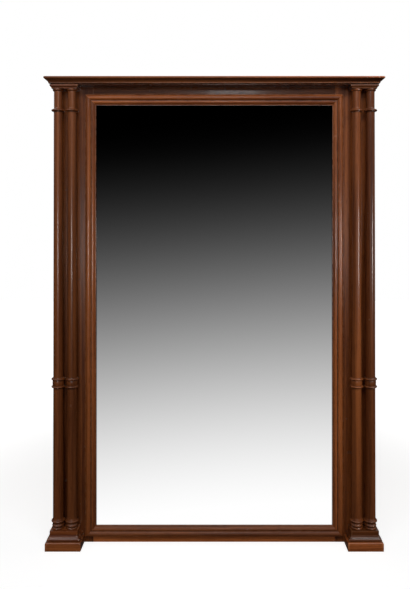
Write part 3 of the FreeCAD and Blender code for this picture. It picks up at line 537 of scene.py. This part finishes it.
def bumped(place, height, strength, distance):
    """Normal that follows a height."""
    return place.node("ShaderNodeBump", {}, {
        "Height": height,
        "Strength": strength,
        "Distance": distance})


def even(scale):
    """Noise scale that is the same along each axis."""
    return scale, scale, scale


def stretched(grain, along, across):
    """Noise scale that runs long on the grain and fine across it."""
    return [along if axis == grain else across for axis in range(3)]


def pattern_offset(seed, shift):
    """Where the wood of one pattern number is cut from."""
    return [seed * part for part in shift]


def colour_by_tone_and_painted_light(colour, tone_and_painted_light):
    """A colour made lighter or darker, by wood tone and painted light and shade together."""
    return *(part * tone_and_painted_light for part in colour), 1


def near_edges(place, low, high, width):
    """1 at the edges of a box and 0 on its faces.

    It goes by the middle one of the distances to the box's three pairs of faces.
    """
    gaps = []
    for axis in range(3):
        here = place.part(axis)
        gaps.append(place.math("MINIMUM", here - low[axis], high[axis] - here))
    least = place.math("MINIMUM", place.math("MINIMUM", gaps[0], gaps[1]), gaps[2])
    most = place.math("MAXIMUM", place.math("MAXIMUM", gaps[0], gaps[1]), gaps[2])
    middle = gaps[0] + gaps[1] + gaps[2] - least - most
    return 1 - middle.step(0, width)


def mahogany(node, grain, seed, boxed=None):
    """French-polished mahogany: ribbon figure, fibres, short dark pores, wax in hollows, rubbed edges,
    and painted light and shade in each piece's lightness.

    A plain piece gives its box, to tell where its edges are. Any other has its wear marked, as about
    0.5 on a flat face, less in a hollow and more at a corner.
    """
    material, place = new_finish(f"mahogany {node}")
    # The piece's lightness is partly its wood's tone, partly painted light and shade
    tone_and_painted_light = TONE_AND_PAINTED_LIGHT.get(node, 1.0)
    offset = pattern_offset(seed, MAHOGANY_SHIFT)
    broad = place.noise(stretched(grain, along=0.9, across=9), 2, offset)
    ribbon = place.noise(stretched(grain, along=1.4, across=70), 3, offset, distortion=0.6)
    fibre = place.noise(stretched(grain, along=14, across=620), 2, offset)
    pore = place.noise(stretched(grain, along=55, across=1500), 1, offset).step(0.62, 0.7)
    patchy = place.noise(even(34), 3, offset)
    if boxed:
        rubbed = near_edges(place, *boxed, RUBBED_WIDTH) * patchy.step(0.35, 0.6)
        hollow = 1 - patchy.step(0.15, 0.35)
    else:
        wear = place.node("ShaderNodeAttribute", {"attribute_name": "wear"}, {}, "Fac")
        hollow = 1 - wear.step(0.38, 0.49)
        rubbed = wear.step(0.51, 0.6) * patchy.step(0.35, 0.6)

    figure = broad * 0.45 + ribbon * 0.4 + fibre * 0.25
    wood = figure.step(0.38, 0.72).between(colour_by_tone_and_painted_light(MAHOGANY_DARK, tone_and_painted_light), colour_by_tone_and_painted_light(MAHOGANY_LIGHT, tone_and_painted_light))
    wood = (pore * 0.55).between(wood, MAHOGANY_PORE)
    wood = (hollow * 0.75).between(wood, DARK_WAX)
    wood = (rubbed * 0.4).between(wood, colour_by_tone_and_painted_light(MAHOGANY_RUBBED, tone_and_painted_light))
    surface(place, {
        "Base Color": wood,
        "Roughness": 0.2 + 0.1 * patchy + 0.08 * rubbed + 0.3 * hollow,
        "Normal": bumped(place, fibre * 0.5 - pore * 0.6, 0.08, 0.0006),
        "Coat Weight": 0.3 - 0.25 * hollow,
        "Coat Roughness": 0.08,
    }).ends("ShaderNodeOutputMaterial")
    return material


def pine(node, grain, seed, low, high):
    """Bare old pine: wide growth rings, a few knots, saw marks, damp stains and grime at the edges."""
    material, place = new_finish(f"pine {node}")
    offset = pattern_offset(seed, PINE_SHIFT)
    rings = place.noise(stretched(grain, along=0.5, across=34), 2, offset, distortion=0.9)
    band = place.math("SINE", rings * 60.0) * 0.5 + 0.5
    fibre = place.noise(stretched(grain, along=9, across=420), 3, offset)
    knot = 1 - place.cells(stretched(grain, along=2.6, across=6), offset).step(0.05, 0.13)
    stain = place.noise(even(3.2), 4, offset).step(0.5, 0.74)
    grime = near_edges(place, low, high, GRIME_WIDTH) * place.noise(even(22), 3, offset).step(0.25, 0.7)
    saw = place.math("SINE", place.part(grain) * 900.0 + fibre * 5.0)
    wood = (band * 0.55 + fibre * 0.35).between(PINE_EARLY_WOOD, PINE_LATE_WOOD)
    wood = knot.between(wood, PINE_KNOT)
    wood = (stain * 0.45).between(wood, DAMP_STAIN)
    wood = (grime * 0.6).between(wood, EDGE_GRIME)
    surface(place, {
        "Base Color": wood,
        "Roughness": 0.72 + 0.18 * fibre,
        "Normal": bumped(place, saw * 0.2 + fibre + knot, 0.25, 0.0008),
    }).ends("ShaderNodeOutputMaterial")
    return material


def old_metal(name, bright, dull, spots, spot_share):
    """Dulled metal with finger-dark patches, fine scratches and small spots of tarnish or rust."""
    material, place = new_finish(name)
    patchy = place.noise(even(90), 3)
    scratch = place.noise((180, 180, 2600), 2).step(0.55, 0.75)
    spot = place.noise(even(420), 2).step(0.72 - spot_share, 0.78 - spot_share)
    colour = patchy.step(0.3, 0.7).between(bright, dull)
    surface(place, {
        "Base Color": spot.between(colour, spots),
        "Metallic": 1 - 0.8 * spot,
        "Roughness": 0.34 + 0.2 * patchy + 0.3 * spot - 0.08 * scratch,
        "Normal": bumped(place, patchy * 0.3 + spot - scratch * 0.3, 0.15, 0.0004),
    }).ends("ShaderNodeOutputMaterial")
    return material


def oak_peg(name):
    """Riven oak with open pores."""
    material, place = new_finish(name)
    fibre = place.noise(stretched(Y_AXIS, along=40, across=500), 3)
    pore = place.noise(stretched(Y_AXIS, along=60, across=1400), 1).step(0.58, 0.66)
    wood = fibre.step(0.3, 0.7).between(OAK_DARK, OAK_LIGHT)
    surface(place, {
        "Base Color": (pore * 0.7).between(wood, OAK_PORE),
        "Roughness": 0.6 + 0.25 * fibre,
        "Normal": bumped(place, fibre - pore, 0.3, 0.0004),
    }).ends("ShaderNodeOutputMaterial")
    return material


def pressed_leather(name):
    """Stiff brown leather with a fine pebbled grain."""
    material, place = new_finish(name)
    pebble = place.cells(even(1400))
    patchy = place.noise(even(60), 3)
    surface(place, {
        "Base Color": patchy.step(0.3, 0.7).between(LEATHER_DARK, LEATHER_LIGHT),
        "Roughness": 0.6 + 0.25 * patchy,
        "Normal": bumped(place, pebble, 0.4, 0.0004),
    }).ends("ShaderNodeOutputMaterial")
    return material


def silvered_glass(name, low, high):
    """Silvered plate: bright in front, with a painted reflection of the moulding's edge as a dark line
    down its left and right sight edges, foxed along its hidden edges.

    Its back is painted with red lead.
    """
    material, place = new_finish(name)
    foxing = near_edges(place, low, high, FOXED_WIDTH) * place.noise(even(260), 3).step(0.6, 0.72)
    # Painted reflection: a dark line on the silver down the left and right sight edges, where the
    # moulding's edge would show
    painted_edge_reflection = place.math("ABSOLUTE", place.part(X_AXIS)).step(HALF_SIGHT - PAINTED_REFLECTION_WIDTH, HALF_SIGHT)
    silver = painted_edge_reflection.between(foxing.between(SILVER, SILVER_FOXED), SILVER_PAINTED_REFLECTION)
    mirror = surface(place, {
        "Base Color": silver,
        "Metallic": 1.0,
        "Roughness": foxing * 0.4})
    brushed = place.noise((900, 900, 18), 3)
    painted = surface(place, {
        "Base Color": brushed.step(0.25, 0.75).between(RED_LEAD_DARK, RED_LEAD_LIGHT),
        "Roughness": 0.55 + 0.3 * brushed,
        "Normal": bumped(place, brushed, 0.2, 0.0003)})
    behind = place.part(Y_AXIS).step(low.y + SILVER_BACK, low.y + PAINT_FRONT)
    plate = place.node("ShaderNodeMixShader", {}, {0: behind, 1: mirror, 2: painted})
    plate.ends("ShaderNodeOutputMaterial")
    return material


def dress_mahogany(piece, node, grain, seed, boxed=None):
    """The piece stands for a CAD node, in mahogany of its own pattern number."""
    dress(piece, node, mahogany(node, grain, seed, boxed))


# First pattern number of each group of pieces, so that no two are cut from the same wood
COLUMN_SEED = 1
LEVEL_MOULDING_SEED = 11
UPRIGHT_MOULDING_SEED = 15
CORNICE_FRONT_SEED = 21
CORNICE_RETURN_SEED = 23
PLINTH_SLAB_SEED = 31
PLINTH_CAP_SEED = 35
ABACUS_SEED = 39
FLAT_MAHOGANY_SEED = 51
FLAT_PINE_SEED = 61


# Columns
COLUMNS = [f"column_{hand_name}_{row}" for hand_name in HANDS for row in ("outer", "inner")]
column_low, column_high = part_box(COLUMNS[0])
pattern = turned_column("column_pattern", column_high.z - column_low.z - 2 * SPIGOT_LENGTH)
for number, node in enumerate(COLUMNS):
    low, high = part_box(node)
    axis = (low + high) / 2
    column = copied_to(pattern, f"turned_{node}", (axis.x, axis.y, low.z + SPIGOT_LENGTH))
    dress_mahogany(column, node, Z_AXIS, COLUMN_SEED + number)
bpy.data.objects.remove(pattern)


# Sight moulding, as distance off the face, distance out from the plate and bulge to the next point
BEAD_START = SIGHT_FILLET + INNER_BEAD
QUIRK_END = BEAD_START + QUIRK_WIDTH
BEAD_END = QUIRK_END + OUTER_BEAD
BEAD_TOP = SIGHT_EDGE + INNER_BEAD_RISE
SIGHT_PROFILE = outline([
    (0, 0, 0),
    (SIGHT_EDGE, 0, 0),
    (SIGHT_EDGE, SIGHT_FILLET, INNER_BEAD_BULGE),
    (BEAD_TOP, BEAD_START, 0),
    (BEAD_TOP - QUIRK_DEPTH, BEAD_START, 0),
    (BEAD_TOP - QUIRK_DEPTH, QUIRK_END, 0),
    (BEAD_TOP, QUIRK_END, OUTER_BEAD_BULGE),
    (BEAD_TOP, BEAD_END, 0),
    (OUTER_FILLET_HEIGHT, BEAD_END, 0),
    (OUTER_FILLET_HEIGHT, BEAD_END + OUTER_FILLET, 0),
    (0, BEAD_END + OUTER_FILLET, 0),
])
LEVELS = {"top": (SIGHT_TOP, 1), "bottom": (SIGHT_BOTTOM, -1)}
for number, (level_name, (inner, away)) in enumerate(LEVELS.items()):
    node = f"sight_moulding_{level_name}"
    points = [Vector((-HALF_MOULDING, FACE - off, inner + away * out)) for off, out in SIGHT_PROFILE]
    mitres = [(Vector((hand * HALF_SIGHT, 0, inner)), Vector((hand, 0, -away)))
              for hand in HANDS.values()]
    level = run_of_moulding(f"run_{node}", points, Vector((2 * HALF_MOULDING, 0, 0)), mitres)
    dress_mahogany(level, node, X_AXIS, LEVEL_MOULDING_SEED + number)
for number, (hand_name, hand) in enumerate(HANDS.items()):
    node = f"sight_moulding_{hand_name}"
    points = [Vector((hand * (HALF_SIGHT + out), FACE - off, MOULDING_BOTTOM))
              for off, out in SIGHT_PROFILE]
    mitres = [(Vector((hand * HALF_SIGHT, 0, inner)), Vector((-hand, 0, away)))
              for inner, away in LEVELS.values()]
    height = Vector((0, 0, MOULDING_TOP - MOULDING_BOTTOM))
    upright = run_of_moulding(f"run_{node}", points, height, mitres)
    dress_mahogany(upright, node, Z_AXIS, UPRIGHT_MOULDING_SEED + number)


# Cornice, as distance out from its core, height and bulge to the next point
CORNICE_HEIGHT = CORE_HIGH.z - CORE_LOW.z
COVE_FOOT = CORNICE_LIFT + CORNICE_FILLET_HEIGHT
NOSE_FOOT = COVE_FOOT + CORNICE_COVE_HEIGHT
NOSE_ROOT = CORNICE_ROOT + CORNICE_COVE_WIDTH
CORNICE_PROFILE = outline([
    (0, CORNICE_LIFT, 0),
    (CORNICE_ROOT, CORNICE_LIFT, 0),
    (CORNICE_ROOT, COVE_FOOT, -CORNICE_COVE_BULGE),
    (NOSE_ROOT, NOSE_FOOT, CORNICE_NOSE_BULGE),
    (NOSE_ROOT, CORNICE_HEIGHT, 0),
    (0, CORNICE_HEIGHT, 0),
])
points = [Vector((-CORNICE_REACH, CORE_LOW.y - out, CORE_LOW.z + up)) for out, up in CORNICE_PROFILE]
mitres = [(Vector((hand * CORE_HIGH.x, CORE_LOW.y, 0)), Vector((hand, 1, 0)))
          for hand in HANDS.values()]
cornice_front = run_of_moulding("run_cornice_front", points, Vector((2 * CORNICE_REACH, 0, 0)), mitres)
dress_mahogany(cornice_front, "cornice_front", X_AXIS, CORNICE_FRONT_SEED)
for number, (hand_name, hand) in enumerate(HANDS.items()):
    node = f"cornice_return_{hand_name}"
    points = [Vector((hand * (CORE_HIGH.x + out), CORE_HIGH.y, CORE_LOW.z + up))
              for out, up in CORNICE_PROFILE]
    mitres = [(Vector((hand * CORE_HIGH.x, CORE_LOW.y, 0)), Vector((-hand, -1, 0)))]
    depth = Vector((0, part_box(node)[0].y - CORE_HIGH.y, 0))
    cornice_return = run_of_moulding(f"run_{node}", points, depth, mitres)
    dress_mahogany(cornice_return, node, Y_AXIS, CORNICE_RETURN_SEED + number)


# Plinths and abaci, as projection, height and bulge to the next point
LIP_ROOT = LIP_PROJECTION - LIP_BULGE
LIP_TOP = NOTCH_HEIGHT + LIP_HEIGHT
for number, hand_name in enumerate(HANDS):
    node = f"plinth_slab_{hand_name}"
    low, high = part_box(node)
    middle = (low.x + high.x) / 2
    die_half = high.x - middle - SLAB_PROJECTION
    die_front = high.y - low.y - SLAB_PROJECTION
    slab_height = high.z - low.z
    slab = moulded_block(f"moulded_{node}", middle, low.z, die_half, die_front, [
        (SLAB_PROJECTION, 0, 0),
        (SLAB_PROJECTION, slab_height - SLAB_OVOLO, SLAB_OVOLO_BULGE),
        (SLAB_PROJECTION - SLAB_OVOLO, slab_height, 0),
    ])
    dress_mahogany(slab, node, X_AXIS, PLINTH_SLAB_SEED + number)

    node = f"plinth_cap_{hand_name}"
    low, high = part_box(node)
    cap = moulded_block(f"moulded_{node}", middle, low.z, die_half, die_front, [
        (LIP_ROOT - NOTCH_DEPTH, 0, 0),
        (LIP_ROOT - NOTCH_DEPTH, NOTCH_HEIGHT, 0),
        (LIP_ROOT, NOTCH_HEIGHT, LIP_BULGE),
        (LIP_ROOT, LIP_TOP, -CAVETTO_BULGE),
        (0, LIP_TOP + CAVETTO_HEIGHT, 0),
        (0, high.z - low.z, 0),
    ])
    dress_mahogany(cap, node, X_AXIS, PLINTH_CAP_SEED + number)

    node = f"abacus_{hand_name}"
    low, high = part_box(node)
    abacus_middle = (low.x + high.x) / 2
    abacus_half = (high.x - low.x) / 2
    abacus = moulded_block(f"moulded_{node}", abacus_middle, low.z, abacus_half, FACE - low.y, [
        (-ABACUS_COVE_DEPTH, 0, -ABACUS_COVE_BULGE),
        (0, ABACUS_COVE_HEIGHT, 0),
        (0, high.z - low.z, 0),
    ])
    dress_mahogany(abacus, node, X_AXIS, ABACUS_SEED + number)


# Flat pieces, with the axis that their grain runs along
BACK_BOARDS = 5
FLAT_MAHOGANY = {
    "left_stile": Z_AXIS,
    "right_stile": Z_AXIS,
    "left_backing_lath": Z_AXIS,
    "right_backing_lath": Z_AXIS,
    "top_rail": X_AXIS,
    "bottom_rail": X_AXIS,
    "cornice_board": X_AXIS,
}
FLAT_PINE = {
    **{f"{hand_name}_backing_{row}": Z_AXIS for hand_name in HANDS for row in ("lower", "upper")},
    **{f"back_board_{board}": X_AXIS for board in range(1, BACK_BOARDS + 1)},
    "glazing_blocks": X_AXIS,
}
for number, (node, grain) in enumerate(FLAT_MAHOGANY.items()):
    dress_mahogany(eased_copy(node), node, grain, FLAT_MAHOGANY_SEED + number, boxed=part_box(node))
for number, (node, grain) in enumerate(FLAT_PINE.items()):
    dress(eased_copy(node), node, pine(node, grain, FLAT_PINE_SEED + number, *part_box(node)))


# Small CAD pieces that keep their shape
refinish("mirror_plate", silvered_glass("silvered glass", *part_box("mirror_plate")))
refinish("joint_pegs", oak_peg("riven oak"))
refinish("setting_pads", pressed_leather("pressed leather"))
brass = old_metal("dull brass", BRASS_BRIGHT, BRASS_DULL, BRASS_TARNISH, spot_share=0.06)
steel = old_metal("dull steel", STEEL_BRIGHT, STEEL_DULL, STEEL_RUST, spot_share=0.1)
for hand_name in HANDS:
    refinish(f"hanger_strap_{hand_name}", brass)
    refinish(f"hanger_ring_{hand_name}", brass)
for screws in ("back_board", "cornice", "abacus", "plinth", "hanger"):
    refinish(f"{screws}_screws", steel)


# Floor, white to the camera, which keeps the mirror's shadow
FLOOR_SIZE = 14
FLOOR_GREY = (0.8, 0.8, 0.8, 1)
FLOOR_GLOW = 0.8
FLOOR_GLOW_RISE = 0.24
FLOOR_NEAR, FLOOR_FAR = 0.9, 2.2
bpy.ops.object.select_all(action="DESELECT")
bpy.ops.mesh.primitive_plane_add(size=FLOOR_SIZE)
floor = bpy.context.object
floor.name = "floor"
floor_finish, floor_place = new_finish("pale floor")
distance = floor_place.node("ShaderNodeVectorMath", {"operation": "LENGTH"}, {0: floor_place}, "Value")
glow = FLOOR_GLOW + FLOOR_GLOW_RISE * distance.step(FLOOR_NEAR, FLOOR_FAR)
lit = floor_place.node("ShaderNodeBsdfDiffuse", {}, {"Color": FLOOR_GREY})
white = floor_place.node("ShaderNodeEmission", {}, {"Color": glow})
floor_place.node("ShaderNodeAddShader", {}, {0: lit, 1: white}).ends("ShaderNodeOutputMaterial")
floor.data.materials.append(floor_finish)
floor.visible_diffuse = False
floor.visible_glossy = False


# Lamps, each for its own group of pieces. None lights the plate, which shows only the room.
# The foot is all that lies below this height.
FOOT_HEIGHT = 0.12


def lamp_group(name, nodes):
    """The pieces that a lamp lights."""
    group = bpy.data.collections.new(name)
    for node in nodes:
        group.objects.link(shown[node])
    return group


def aimed_lamp(name, group, place, target, size, power):
    """Soft area lamp for one group of pieces."""
    bpy.ops.object.light_add(type="AREA", location=place)
    lamp = bpy.context.object
    lamp.name = name
    lamp.rotation_euler = (Vector(target) - Vector(place)).to_track_quat("-Z", "Y").to_euler()
    lamp.data.shape = "RECTANGLE"
    lamp.data.size, lamp.data.size_y = size
    lamp.data.energy = power
    lamp.light_linking.receiver_collection = group
    return lamp


plain = [node for node in shown if node != "mirror_plate"]
middles = {node: sum(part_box(node), Vector()).x / 2 for node in plain}
left_nodes = [node for node in plain if middles[node] < -HALF_SIGHT]
right_nodes = [node for node in plain if middles[node] > HALF_SIGHT]
inner_right_nodes = [node for node in right_nodes if middles[node] < HALF_MOULDING]
left_side = lamp_group("left side", left_nodes)
right_side = lamp_group("right side", right_nodes)
left_of_columns = lamp_group("left of the right columns", left_nodes + inner_right_nodes)
left_moulding = lamp_group("left moulding", ["sight_moulding_left"])
right_moulding = lamp_group("right moulding", ["sight_moulding_right"])
side_mouldings = lamp_group("side mouldings", ["sight_moulding_left", "sight_moulding_right"])
top_moulding = lamp_group("top moulding", ["sight_moulding_top"])
cornice = lamp_group("cornice", [node for node in plain if node.startswith("cornice")])
frieze = lamp_group("frieze", ["top_rail"])
foot = lamp_group("foot", [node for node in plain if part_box(node)[1].z < FOOT_HEIGHT])
whole = lamp_group("whole mirror", plain)
standing = lamp_group("mirror and floor", plain)
standing.objects.link(floor)

# These show in the polish as glints
aimed_lamp("left window", left_of_columns, (-0.42, -2.4, 1.03), (-0.55, 0, 1.03), (0.12, 0.5), 6)
aimed_lamp("right window", right_side, (1.95, -1.6, 1.03), (0.55, 0, 1.03), (0.2, 0.5), 9)
aimed_lamp("left top lamp", left_side, (-1.5, -1.6, 2.9), (-0.5, 0, 0.9), (1.0, 1.0), 10)
aimed_lamp("right top lamp", right_side, (1.5, -1.6, 2.9), (0.5, 0, 0.9), (1.0, 1.0), 12)
aimed_lamp("top moulding lamp", top_moulding, (0, -2.2, 2.35), (0, 0, 1.66), (2.4, 0.3), 6)
aimed_lamp("glint lamp", side_mouldings, (0, -2.35, 1.04), (0, 0, 1.04), (0.05, 0.04), 0.5)
aimed_lamp("key lamp", whole, (0.15, -2.6, 2.3), (0, 0, 1.2), (0.4, 0.3), 1.5)

# These fill in soft light and don't show in the polish
fills = [
    aimed_lamp("ceiling lamp", standing, (0, -2.2, 2.95), (0, 0, 0.9), (3.6, 0.5), 34),
    aimed_lamp("front lamp", whole, (0, -1.6, 1.95), (0, 0, 1.3), (1.5, 0.4), 3),
    aimed_lamp("left cross lamp", right_moulding, (-0.2, -0.65, 1.15), (0.46, 0, 1.1), (0.3, 0.3), 2.3),
    aimed_lamp("right cross lamp", left_moulding, (0.2, -0.65, 1.15), (-0.46, 0, 1.1), (0.3, 0.3), 3.1),
    aimed_lamp("cornice lamp", cornice, (0.75, -0.6, 2.3), (0.4, -0.08, 1.72), (0.3, 0.3), 20),
    aimed_lamp("frieze lamp", frieze, (0.15, -0.7, 1.3), (0.1, 0, 1.69), (0.6, 0.2), 0.7),
    aimed_lamp("low lamp", foot, (0, -2.4, 0.4), (0, 0, 0.1), (0.8, 0.3), 10),
    aimed_lamp("back lamp", whole, (0, 2.6, 2.2), (0, 0, 0.9), (1.5, 1.5), 60),
]
for lamp in fills:
    lamp.visible_glossy = False


# Room that the plate shows, black from one slope of the view upwards and white from another downwards
ROOM_DARK_SLOPE = 0.197
ROOM_BRIGHT_SLOPE = -0.473
ROOM_LEAN = 0.15
ROOM_SOFTNESS = 0.6
ROOM_GAMMA = 2.2
STRAIGHT_UP_GUARD = 1.0001
MIRRORED_BOUNCES = 2

# Bright band just below level and pale ceiling that the polish shows, and light from all round
BAND_DROP = 0.035
BAND_CORE, BAND_FADE = 0.01, 0.12
AHEAD_CORE, AHEAD_FADE = 0.25, 0.45
BAND_BASE = 0.02
BAND_PEAK = 1.0
UPPER_LIGHT = 0.12
UPPER_START, UPPER_FULL = -0.05, 0.1
CEILING_LIGHT = 0.4
CEILING_START, CEILING_FULL = 0.3, 0.6
AMBIENT_LIGHT = 0.05

world = bpy.data.worlds.new("studio")
bpy.context.scene.world = world
world.use_nodes = True
world.node_tree.nodes.clear()
sky = Strand(world.node_tree)
way = sky.node("ShaderNodeTexCoord", {}, {}, "Generated")
aside = way.part(X_AXIS)
rise = way.part(Z_AXIS)
slope = rise / (STRAIGHT_UP_GUARD - rise * rise) ** 0.5
fall = (ROOM_DARK_SLOPE - slope) / (ROOM_DARK_SLOPE - ROOM_BRIGHT_SLOPE) + aside * ROOM_LEAN
fall = sky.math("MINIMUM", sky.math("MAXIMUM", fall, 0.0), 1.0)
room = (fall.step(0, 1) * ROOM_SOFTNESS + fall * (1 - ROOM_SOFTNESS)) ** ROOM_GAMMA / SILVER_WHITE

level_band = 1 - sky.math("ABSOLUTE", rise + BAND_DROP).step(BAND_CORE, BAND_FADE)
ahead = 1 - sky.math("ABSOLUTE", aside).step(AHEAD_CORE, AHEAD_FADE)
upper = UPPER_LIGHT * rise.step(UPPER_START, UPPER_FULL)
ceiling = CEILING_LIGHT * rise.step(CEILING_START, CEILING_FULL)
band = BAND_BASE + BAND_PEAK * level_band * ahead + (upper + ceiling)

seen = sky.node("ShaderNodeLightPath", {}, {}, "Is Camera Ray")
sharp = sky.node("ShaderNodeLightPath", {}, {}, "Is Singular Ray")
glossy = sky.node("ShaderNodeLightPath", {}, {}, "Is Glossy Ray")
bounces = sky.node("ShaderNodeLightPath", {}, {}, "Ray Depth")
mirrored = sharp * (1 - bounces.step(MIRRORED_BOUNCES, MIRRORED_BOUNCES + 1))
soft = glossy * band + (1 - glossy) * AMBIENT_LIGHT
strength = seen + (1 - seen) * (mirrored * room + (1 - mirrored) * soft)
backdrop = sky.node("ShaderNodeBackground", {}, {"Color": (1, 1, 1, 1), "Strength": strength})
backdrop.ends("ShaderNodeOutputWorld")


# Camera, square to the mirror
PICTURE_WIDTH, PICTURE_HEIGHT = 410, 589
FOCAL_PIXELS = 600
AXIS_ACROSS, AXIS_DOWN = 214.3, 224
CAMERA_DISTANCE = 2.25
CAMERA_HEIGHT = 1.192
camera_place = (0, FACE - CAMERA_DISTANCE, CAMERA_HEIGHT)
bpy.ops.object.camera_add(location=camera_place, rotation=(math.pi / 2, 0, 0))
camera = bpy.context.object
camera.data.lens = camera.data.sensor_width * FOCAL_PIXELS / PICTURE_HEIGHT
camera.data.shift_x = (PICTURE_WIDTH / 2 - AXIS_ACROSS) / PICTURE_HEIGHT
camera.data.shift_y = (AXIS_DOWN - PICTURE_HEIGHT / 2) / PICTURE_HEIGHT
bpy.context.scene.camera = camera
